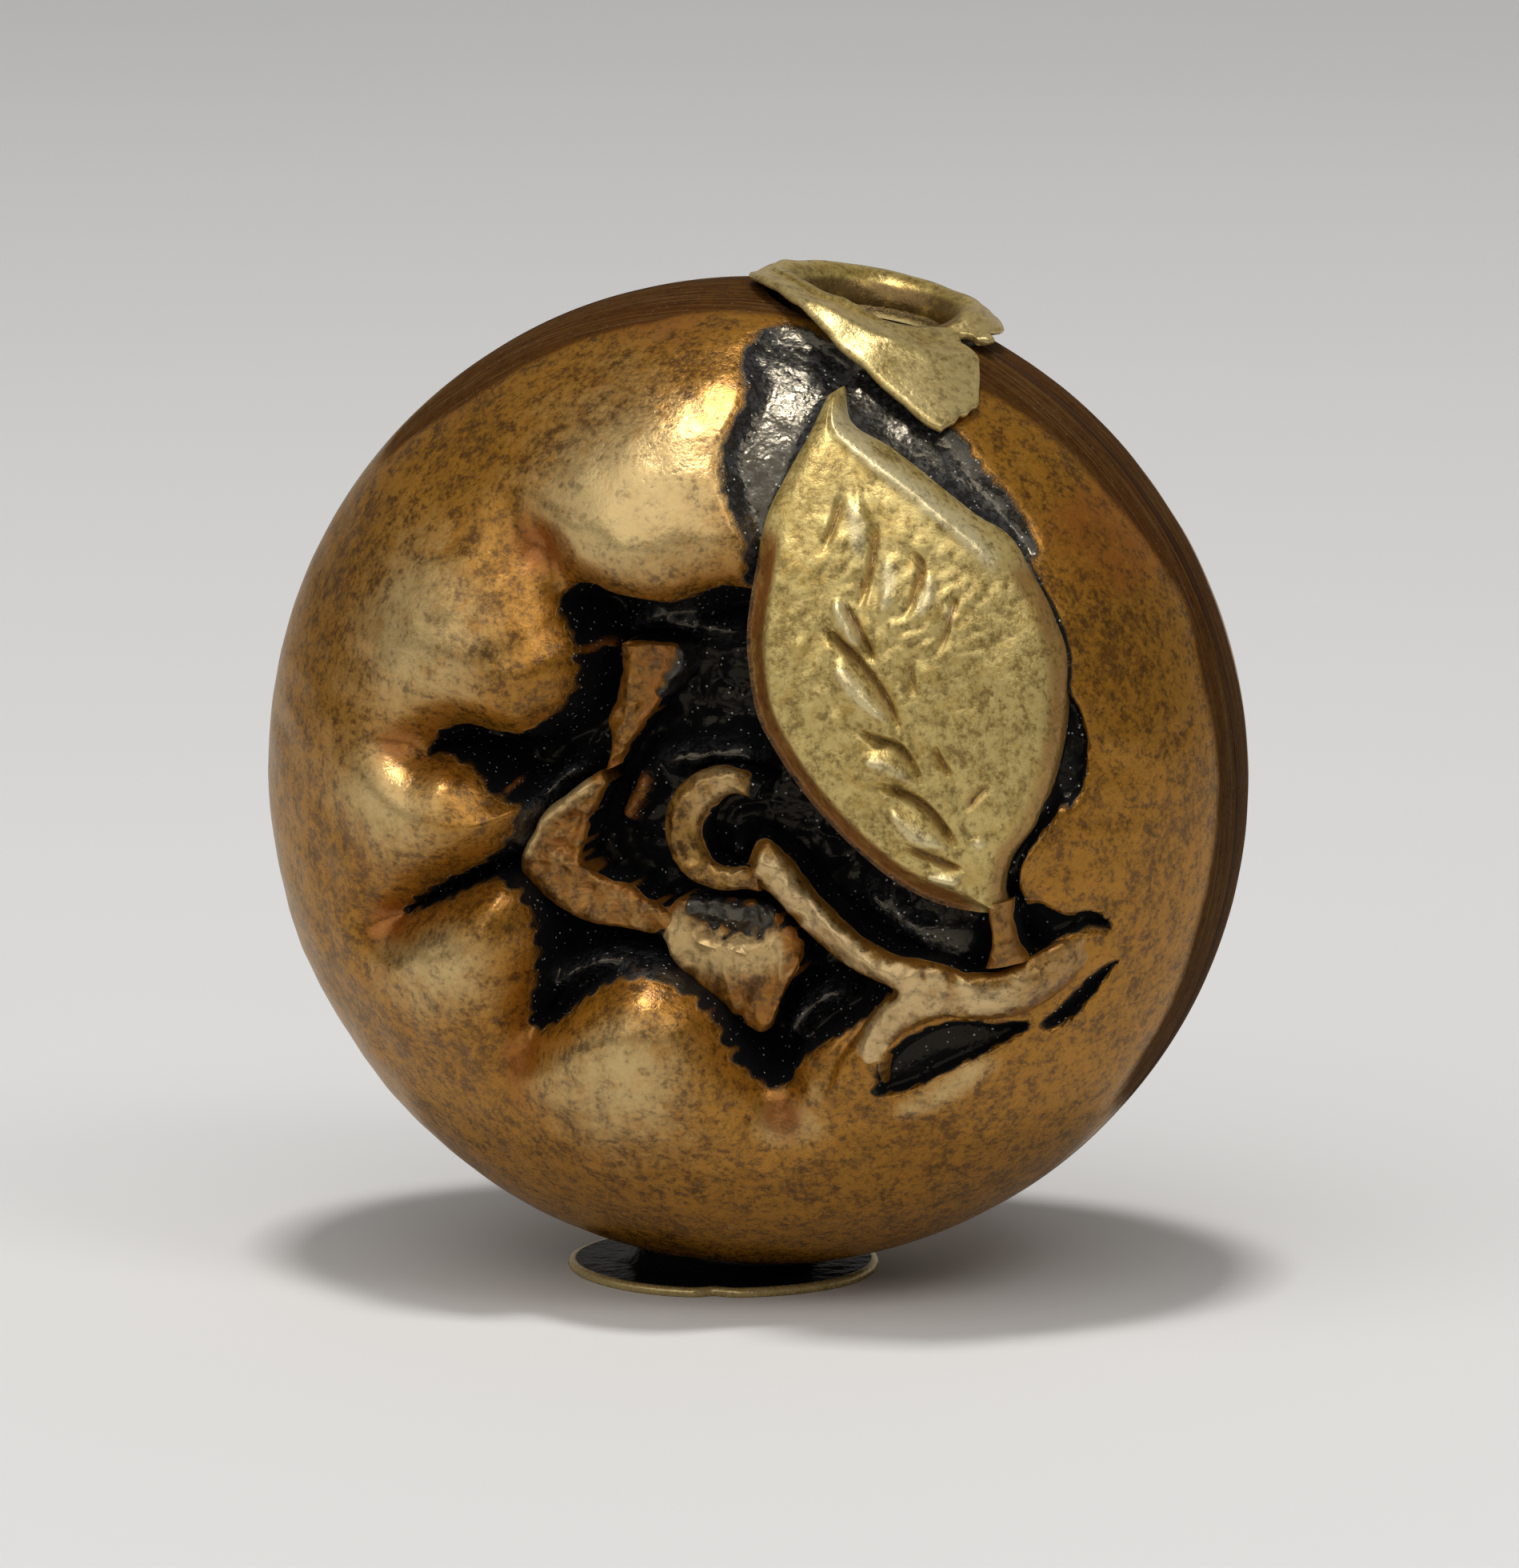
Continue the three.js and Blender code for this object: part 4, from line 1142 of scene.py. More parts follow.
@dataclass(kw_only=True)
class CordTube(BeadPiece):
    """The brass tube that the cord runs through, its ends cut under the eyelets' flares."""

    bore: Bore
    rims: tuple[float, float]
    rows: int = 40
    spokes: int = 120
    # How far painted shade darkens the whole tube, which is seen only down the bore.
    bore_shade: float = 0.45

    node = "cord_tube"
    metal = Metal.TUBE
    word = "brass"

    def draft(self) -> Draft:
        """The tube, cut square to each eyelet."""
        bore = self.bore
        middle = (bore.tube_inner_radius + bore.tube_outer_radius) / 2
        start = bore.foot + middle * round_ways(circle(self.spokes), np.cross(INWARD, bore.up))
        foot_cut, head_cut = (
            (rim - bore.tube_sink - start @ normal) / (bore.up @ normal)
            for normal, rim in zip((DOWN, bore.head_normal), self.rims)
        )
        along = np.linspace(0, 1, self.rows)[:, None]
        travel = mix(foot_cut[None, :], head_cut[None, :], along)
        grid = start[None, :, :] + travel[:, :, None] * bore.up
        return sheet(grid, bore.tube_outer_radius - bore.tube_inner_radius)

    def masks(self, points: Array) -> dict[str, Array]:
        """An even painted shade, for the dark inside of the bore."""
        return {"soot": np.full(len(points), self.bore_shade)}


@dataclass(kw_only=True)
class Eyelet(BeadPiece):
    """A flared brass eyelet: a neck in the bore, a trumpet mouth and a brim on the body.

    It sits at the foot of the bore with a flat, round brim, where its kind says nothing else. The
    rim is the level of the mouth along the eyelet's normal.
    """

    bore: Bore
    rim: float
    rim_radius: float = 2.65
    flare_radius: float = 1.85
    thickness: float = 0.17
    neck_length: float = 2.2
    flare_depth: float = 0.5
    spokes: int = 300
    neck_rows: int = 24
    flare_rows: int = 16
    brim_rows: int = 28
    rough: Unevenness = Unevenness(41, 0.9, 0.012)

    metal = Metal.EYELET
    word = "brass"

    @property
    def mouth(self) -> Array:
        """Where the cord's line leaves the bead."""
        return self.bore.foot

    @property
    def normal(self) -> Array:
        """The way out of the mouth."""
        return DOWN

    @property
    def neck_way(self) -> Array:
        """The way along the neck, toward the mouth."""
        return -self.bore.up

    @property
    def centre(self) -> Array:
        """The middle of the mouth, at the rim's level."""
        return self.mouth + (self.rim - self.mouth @ self.normal) * self.normal

    def pinch(self, height: float) -> float:
        """How far the neck narrows at a height."""
        return 0.0

    def reach(self, angle: Array) -> Array:
        """The brim's reach at each angle round the hole."""
        return np.full(angle.shape, self.rim_radius)

    def flare(self, angle: Array) -> Array:
        """The mouth's radius."""
        return np.full(angle.shape, self.flare_radius)

    def lift(self, angle: Array) -> Array:
        """The mouth's height against the rim's level."""
        return np.full(angle.shape, -self.thickness / 2)

    def seat(self, radius: Array, angle: Array) -> Array:
        """The height of the brim's top."""
        return np.zeros(radius.shape)

    def draft(self) -> Draft:
        """The eyelet's sheet, from the neck's end over the mouth to the brim's edge."""
        centre, normal, neck_way = self.centre, self.normal, self.neck_way
        angle = circle(self.spokes)
        inner, outer = (round_ways(angle, np.cross(INWARD, way)) for way in (neck_way, normal))
        neck_radius = self.bore.hole_radius + self.thickness / 2
        straight = self.neck_length - self.flare_depth
        rows = []
        for share in np.linspace(1, 0, self.neck_rows, endpoint=False):
            height = -self.flare_depth - straight * share**2
            rows.append(centre + (neck_radius - self.pinch(height)) * inner + height * neck_way)
        for turn in np.linspace(0, math.pi / 2, self.flare_rows, endpoint=False):
            radius = mix(neck_radius, self.flare(angle), 1 - math.cos(turn))
            height = mix(-self.flare_depth, self.lift(angle), math.sin(turn))
            share = 1 - (1 - turn / (math.pi / 2)) ** 2
            way, up = mix(inner, outer, share), mix(neck_way, normal, share)
            rows.append(centre + radius[:, None] * way + height[:, None] * up)
        for share in np.linspace(0, 1, self.brim_rows):
            radius = mix(self.flare(angle), self.reach(angle), share)
            height = self.seat(radius, angle) - self.thickness / 2
            rows.append(centre + radius[:, None] * outer + height[:, None] * normal)
        middle = np.stack(rows)
        bumps = self.rough.at(middle)
        bumps[: self.neck_rows] = 0.0
        return sheet(middle + bumps[:, :, None] * normal, self.thickness)


@dataclass(kw_only=True)
class UpperEyelet(Eyelet):
    """The upper eyelet, whose front is torn and folded down over the face.

    The lip and the flap are angles round the hole, in degrees, with the mouth's height and the
    brim's share of the rim's radius there.
    """

    rim_radius: float = 2.1
    flare_radius: float = 1.86
    front_flare: float = 1.6
    front_start: Span = (-176, -140)
    front_end: Span = (-34, -4)
    curl: float = 0.14
    stand_off: float = 0.2
    tip_stand_off: float = 0.1
    tip: Span = (1.7, 3.2)
    bulge: float = 0.26
    bulge_radius: float = 2.05
    bulge_width: float = 0.75
    fold_run: float = 0.7
    least_clearance: float = 0.18
    thickness: float = 0.15
    lip_level: float = -0.68
    lip_depth: float = 0.1
    lip_width: float = 0.06
    # The painted highlight line at the tube's edge: its width and reach.
    line_width: float = 0.07
    line_reach: float = 1.4
    neck_edge: Span = (1.5, 1.75)
    # Depths down the neck over which painted shade blackens and browns its inside.
    soot_down: Span = (0.42, 0.72)
    rust_down: Span = (0.04, 0.24)
    worn: float = 0.6
    spokes: int = 480
    search: Span = (-6.0, 1.0)
    search_steps: int = 24
    lip: Knots = (
        (-180, -0.04), (-150, -0.03), (-133, -0.04), (-98, -0.1), (-80, -0.23), (-71, -0.32),
        (-60, -0.43), (-45, -0.45), (-32, -0.42), (-22, -0.3), (-12, -0.15), (-2, -0.05),
        (180, -0.04),
    )
    flap: Knots = (
        (-180, 1.0), (-165, 1.03), (-145, 1.02), (-130, 1.0), (-121, 1.03), (-107, 1.12),
        (-98, 1.19), (-89, 1.27), (-75, 1.43), (-63, 1.66), (-57, 1.82), (-54, 1.87), (-52, 1.83),
        (-50, 1.81), (-48, 1.75), (-46, 1.75), (-44, 1.7), (-41.5, 1.68), (-39.5, 1.57),
        (-36, 1.42), (-33, 1.28), (-30, 1.12), (-27, 0.96), (-24, 0.87), (-20, 0.86), (-17, 0.92),
        (-14.5, 1.05), (-11, 1.08), (-8, 1.03), (-5, 0.98), (-1, 1.0), (4, 1.03), (12, 1.04),
        (40, 1.0), (180, 1.0),
    )

    node = "upper_eyelet"

    @property
    def mouth(self) -> Array:
        """Where the cord's line leaves the bead above."""
        return self.bore.head

    @property
    def normal(self) -> Array:
        """The way out of the mouth."""
        return self.bore.head_normal

    @property
    def neck_way(self) -> Array:
        """The way up the neck."""
        return self.bore.up

    def pinch(self, height: float) -> float:
        """How far the neck narrows at the cord tube's edge."""
        return self.lip_depth * bell(height - self.lip_level, self.lip_width)

    def reach(self, angle: Array) -> Array:
        """The brim's reach at each angle round the hole."""
        return self.rim_radius * looked_up(self.flap, degrees_round(angle))

    def front(self, angle: Array) -> Array:
        """How far an angle lies on the folded front, from 0 to 1."""
        degrees = degrees_round(angle)
        return smooth(degrees, *self.front_start) * (1 - smooth(degrees, *self.front_end))

    def flare(self, angle: Array) -> Array:
        """The mouth's radius, tighter at the folded front."""
        return mix(self.flare_radius, self.front_flare, self.front(angle))

    def lift(self, angle: Array) -> Array:
        """The mouth's height against the rim's level."""
        return looked_up(self.lip, degrees_round(angle))

    def body_surface(self, radius: Array, angle: Array) -> Array:
        """How far along the normal the body lies under places of the brim."""
        body, normal = self.bore.body, self.normal
        place = self.centre + radius[:, None] * round_ways(angle, np.cross(INWARD, normal))
        low, high = (np.full(radius.shape, end) for end in self.search)
        for _ in range(self.search_steps):
            level = (low + high) / 2
            x, y, z = (place + level[:, None] * normal).T
            within = np.abs(y) < body.seam + body.dome(x, z)
            within &= np.hypot(x, z) < body.rim(np.arctan2(z, x))
            low, high = np.where(within, level, low), np.where(within, high, level)
        return high

    def seat(self, radius: Array, angle: Array) -> Array:
        """The brim's top: a curled rim behind, and a flap that hugs the body in front."""
        flare, lift = self.flare(angle), self.lift(angle)
        surface = self.body_surface(radius, angle)
        out = np.clip((radius - flare) / (self.rim_radius - flare), 0, 1)
        curled = lift - self.curl * out**2
        clear = mix(self.stand_off, self.tip_stand_off, smooth(radius, *self.tip))
        hugging = surface + clear + self.thickness
        hugging = hugging + self.bulge * bell(radius - self.bulge_radius, self.bulge_width)
        blend = smooth(radius, self.front_flare, self.front_flare + self.fold_run)
        folded = mix(lift, np.minimum(hugging, lift), blend)
        return np.maximum(mix(curled, folded, self.front(angle)), surface + self.least_clearance)

    def masks(self, points: Array) -> dict[str, Array]:
        """Worn brass on the fold, a painted highlight line at the tube's edge, and painted shade
        down the neck.
        """
        away = points - self.mouth
        along = away @ self.neck_way
        down = along - (self.rim - self.mouth @ self.normal)
        from_line = np.linalg.norm(away - along[:, None] * self.neck_way, axis=1)
        inside = 1 - smooth(from_line, *self.neck_edge)
        line = bell(down - self.lip_level, self.line_width) * (from_line < self.line_reach)
        return {
            # Painted shade darkens the neck's inside the deeper it goes, except on the painted
            # highlight line.
            "soot": inside * smooth(-down, *self.soot_down) * (1 - line),
            "rust": inside * smooth(-down, *self.rust_down) * (1 - line),
            "wear": (1 - inside) * self.worn + line,
        }


@dataclass(kw_only=True)
class LowerEyelet(Eyelet):
    """The lower eyelet, on whose flat brim the bead stands."""

    notch_angle: float = -102.0
    notch_width: float = 5.0
    notch_depth: float = 0.16
    waver: float = 0.03
    rough: Unevenness = Unevenness(42, 1.0, 0.0)

    node = "lower_eyelet"

    def reach(self, angle: Array) -> Array:
        """The brim's reach at each angle round the hole."""
        notch = self.notch_depth * bell(degrees_round(angle) - self.notch_angle, self.notch_width)
        return self.rim_radius + self.waver * (np.cos(5 * angle + 1) - 1) / 2 - notch

    def masks(self, points: Array) -> dict[str, Array]:
        """A painted highlight round the brim's edge, and painted shadow over the rest of the brim
        under the bead.
        """
        x, y = points[:, 0] - self.bore.foot_x, points[:, 1]
        inset = self.reach(np.arctan2(y, -x)) - np.hypot(x, y)
        # Painted shadow over the brim, with a painted highlight left along its edge.
        return {"soot": smooth(inset, 0.02, 0.07), "wear": 1 - smooth(inset, 0.0, 0.05)}


@dataclass(kw_only=True)
class Ribbon(BeadPiece):
    """A raised ribbon between two rails on the face, each row its left x, z and right x, z.

    Its patina follows how far a place lies below the crest.
    """

    face: FaceForm
    rails: Knots = ()
    rise: float = 1.5
    root_depth: float = 0.3
    least_thickness: float = 0.2
    edge_drop: float = 0.3
    fullness: float = 4.5
    lean: float = 0.0
    end_drop: float = 0.0
    end_share: float = 0.12
    strokes: Sequence[Stroke] = ()
    rough: Unevenness = Unevenness(51, 0.5, 0.015)
    crumple: Unevenness = Unevenness(52, 0.42, 0.03)
    steps: int = 16
    columns: int = 34
    soot_below: Span = (0.15, 0.29)
    rust_below: Span = (-0.1, 0.15)

    metal = Metal.TWIG
    word = "copper"

    def crest(self, x: Array, z: Array) -> Array:
        """The crest's height, level over the pit's floor."""
        return np.full(x.shape, self.face.floor_level + self.rise)

    def root(self, x: Array, z: Array) -> Array:
        """The underside's height, sunk in the pit's floor."""
        return np.full(x.shape, self.face.floor_level - self.root_depth)

    def below(self, points: Array, fray: Array) -> Array:
        """How far points lie below the crest, with a frayed edge."""
        x, _, z = points.T
        return self.crest(x, z) - self.face.body.height_of(points) + fray

    def ribbon(self, rails: Knots) -> Draft:
        """A ribbon between rails as one closed form."""
        drawn = through(rails, self.steps)
        along = np.linspace(0, 1, len(drawn))[:, None]
        share = (1 - np.cos(np.linspace(0, math.pi, self.columns)))[None, :] / 2
        x, z = between(drawn, share)
        crown = np.sqrt(np.maximum(0.0, 1 - np.abs(2 * share - 1) ** self.fullness))
        ends = fade_ends(along, 0.0, self.end_share)
        drop = self.edge_drop * (1 - crown) + self.end_drop * (1 - ends) + self.lean * (share - 0.5)
        folds = self.rough.on_face(x, z) - np.abs(self.crumple.on_face(x, z))
        top = self.crest(x, z) - drop + relief(self.strokes, x, z) + folds
        bottom = np.minimum(self.root(x, z), top - self.least_thickness)
        body = self.face.body
        return slab(body.points_at(x, z, top), body.points_at(x, z, bottom))

    def draft(self) -> Draft:
        """The ribbon between the piece's own rails."""
        return self.ribbon(self.rails)


@dataclass(kw_only=True)
class CalyxSepal(Ribbon):
    """One of the three sepals in the pit."""

    node: str
    dark: Sequence[Stroke] = ()
    worn: float = 0.0
    fold: Sequence[Stroke] = ()
    edge_drop: float = 0.28
    end_drop: float = 0.1

    metal = Metal.CALYX

    def masks(self, points: Array) -> dict[str, Array]:
        """Worn crests and folds, the left sepal's fold a painted highlight; a painted grey sheen on
        the dark strokes; rusty flanks and sooty roots.
        """
        x, _, z = points.T
        fray = 2 * self.face.fray.on_face(x, z)
        below = self.below(points, fray)
        dark = smooth(below, *self.soot_below)
        worn, sheen = np.full(x.shape, self.worn), np.zeros(x.shape)
        if self.dark:
            # The dark strokes carry a painted grey sheen.
            sheen = cover(self.dark, x, z)
            dark = np.maximum(dark, sheen + 3 * fray)
        if self.fold:
            worn = np.maximum(worn, cover(self.fold, x, z, 1.2))
        rust = (1 - worn) * smooth(below, *self.rust_below)
        return {"soot": dark, "sheen": sheen, "rust": rust, "wear": worn}


@dataclass(kw_only=True)
class StalkRing(Ribbon):
    """The curled stalk at the calyx's middle, open on the right."""

    rise: float = 1.55
    edge_drop: float = 0.32
    end_drop: float = 0.12
    fullness: float = 3.4
    steps: int = 10
    rough: Unevenness = Unevenness(71, 0.4, 0.012)
    soot_below: Span = (0.17, 0.32)
    rust_below: Span = (0.05, 0.25)
    rails: Knots = (
        (1.42, 0.72, 1.25, 0.38), (1.1, 0.9, 1.02, 0.46), (0.71, 0.97, 0.82, 0.46),
        (0.38, 0.9, 0.68, 0.34), (0.1, 0.74, 0.56, 0.2), (-0.12, 0.53, 0.48, 0.1),
        (-0.26, 0.28, 0.43, -0.03), (-0.33, 0.0, 0.4, -0.16), (-0.33, -0.28, 0.42, -0.34),
        (-0.2, -0.66, 0.47, -0.55), (0.0, -0.92, 0.56, -0.68), (0.28, -1.1, 0.7, -0.76),
        (0.71, -1.2, 0.92, -0.76), (1.1, -1.16, 1.12, -0.74), (1.36, -1.2, 1.3, -0.84),
    )
    strokes: Sequence[Stroke] = (
        Stroke(
            ((1.3, 0.62), (0.7, 0.78), (0.15, 0.5), (-0.1, -0.1), (0.1, -0.7), (0.7, -1.02)),
            0.12, 0.1,
        ),
        Stroke(((0.9, 0.5), (0.5, 0.25), (0.34, -0.2), (0.45, -0.6)), 0.08, -0.1),
    )

    node = "stalk_ring"

    def masks(self, points: Array) -> dict[str, Array]:
        """Worn crest, rusty flanks, a sooty root, and painted shade at the curl's open end."""
        x, _, z = points.T
        fray = self.face.fray.at(points)
        below = self.below(points, fray)
        # Painted shade: the curl's upper right end goes dark where it opens on the pit.
        curl = 0.9 * smooth(x + fray, 1.0, 1.35) * smooth(z, 0.0, 0.3)
        left = 0.25 * (1 - smooth(x, 0.0, 0.6))
        return {
            "soot": np.maximum(smooth(below, *self.soot_below), curl),
            "rust": np.maximum(smooth(below, *self.rust_below), left),
            "wear": 0.15 + 0.4 * smooth(x + 0.5 * z, 0.0, 0.8) * (1 - smooth(x, 0.9, 1.3)),
        }


@dataclass(kw_only=True)
class Twig(Ribbon):
    """The twig that climbs from the pit on to the body, and its fork."""

    ring_rise: float = 1.5
    rise: float = 0.3
    climb: Span = (2.15, 4.8)
    fork_sink: float = 0.5
    fork_end: Span = (3.7, 4.9)
    tip_sink: float = 0.42
    tip: Span = (6.3, 7.25)
    edge_drop: float = 0.42
    fullness: float = 2.6
    end_drop: float = 0.3
    end_share: float = 0.06
    rough: Unevenness = Unevenness(81, 0.5, 0.008)
    grain: float = 0.042
    rounds: int = 3
    soot_below: Span = (0.27, 0.42)
    rust_below: Span = (0.08, 0.28)
    rails: Knots = (
        (1.3, -0.12, 1.0, -0.95), (1.62, -0.38, 1.3, -1.12), (1.88, -0.62, 1.55, -1.28),
        (2.29, -1.12, 1.9, -1.64), (2.8, -1.53, 2.38, -2.05), (3.35, -1.84, 3.02, -2.4),
        (3.95, -2.02, 3.8, -2.62), (4.6, -2.1, 4.45, -3.0), (5.05, -2.3, 5.02, -3.18),
        (5.63, -2.3, 5.72, -3.18), (6.1, -2.05, 6.15, -2.98), (6.5, -1.82, 6.62, -2.6),
        (6.9, -1.66, 7.02, -2.18), (7.28, -1.62, 7.34, -1.84),
    )
    fork_rails: Knots = (
        (4.6, -2.3, 5.1, -3.0), (4.3, -2.45, 4.78, -3.08), (3.9, -2.64, 4.4, -3.2),
        (3.5, -2.98, 4.0, -3.48), (3.14, -3.46, 3.74, -3.87), (2.92, -3.98, 3.64, -4.22),
        (2.78, -4.45, 3.58, -4.58), (2.7, -4.95, 3.55, -5.05),
    )
    strokes: Sequence[Stroke] = (
        Stroke(
            ((4.6, -2.55), (4.1, -2.75), (3.7, -3.1), (3.42, -3.6), (3.3, -4.2)),
            0.13, 0.1, 0.2,
        ),
        Stroke(
            ((1.6, -0.75), (2.2, -1.3), (2.9, -1.85), (3.8, -2.3), (4.8, -2.5)),
            0.14, 0.07, 0.2,
        ),
        Stroke(((5.0, -2.75), (5.7, -2.85), (6.3, -2.5), (6.9, -2.05)), 0.16, 0.08, 0.25),
        Stroke(((4.2, -2.35), (4.6, -2.62), (5.2, -2.62)), 0.1, -0.08, 0.25),
    )

    node = "twig"

    def crest(self, x: Array, z: Array) -> Array:
        """The twig's crest: level with the calyx in the pit, then just above the body."""
        pit_level = self.face.floor_level + self.ring_rise
        level = mix(pit_level, self.face.body.dome(x, z) + self.rise, smooth(x, *self.climb))
        level = level - self.fork_sink * smooth(-z, *self.fork_end)
        return level - self.tip_sink * smooth(x, *self.tip)

    def root(self, x: Array, z: Array) -> Array:
        """The twig's underside, inside the body's wall."""
        return np.minimum(self.face.floor_level, self.face.body.dome(x, z)) - self.root_depth

    def draft(self) -> Draft:
        """Both branches."""
        return self.ribbon(self.rails).joined(self.ribbon(self.fork_rails))

    def work(self, bench: Bench, piece: bpy.types.Object) -> None:
        """Melts the branches into one."""
        bench.melt(piece, self.grain, self.rounds)

    def masks(self, points: Array) -> dict[str, Array]:
        """Worn crests that are partly painted highlight, and sooty, rusty lower flanks."""
        x, _, z = points.T
        below = self.below(points, self.face.fray.at(points))
        fading = 1 - 0.45 * smooth(-z, 3.6, 4.8)
        # Wear on the crest: partly real rubbing, partly painted highlight along the crest.
        worn = 0.88 * (1 - smooth(below, 0.0, 0.2)) * (1 - 0.55 * smooth(x, 5.0, 6.6))
        return {
            "soot": smooth(below, *self.soot_below),
            "rust": np.maximum(smooth(below, *self.rust_below), 0.4 * smooth(x, 4.9, 6.4)),
            "wear": worn * fading,
        }


@dataclass(kw_only=True)
class LeafStalk(Ribbon):
    """The leaf's short stalk, down to the twig."""

    rise: float = 0.3
    root_depth: float = 0.5
    edge_drop: float = 0.4
    fullness: float = 2.4
    rough: Unevenness = Unevenness(91, 0.35, 0.01)
    steps: int = 12
    columns: int = 24
    soot_below: Span = (0.25, 0.42)
    rust_below: Span = (0.0, 0.25)
    rails: Knots = (
        (5.42, -1.1, 5.86, -1.05), (5.46, -1.35, 5.84, -1.3), (5.5, -1.65, 5.86, -1.62),
        (5.46, -1.95, 5.94, -1.9), (5.36, -2.25, 6.06, -2.15),
    )

    node = "leaf_stalk"

    def crest(self, x: Array, z: Array) -> Array:
        """The stalk's crest, just above the body."""
        return self.face.body.dome(x, z) + self.rise

    def root(self, x: Array, z: Array) -> Array:
        """The stalk's underside, inside the body's wall."""
        return self.face.body.dome(x, z) - self.root_depth

    def masks(self, points: Array) -> dict[str, Array]:
        """Sooty and rusty lower down the flanks."""
        below = self.below(points, self.face.fray.at(points))
        rust = 0.5 + 0.5 * smooth(below, *self.rust_below)
        return {"soot": smooth(below, *self.soot_below), "rust": rust}


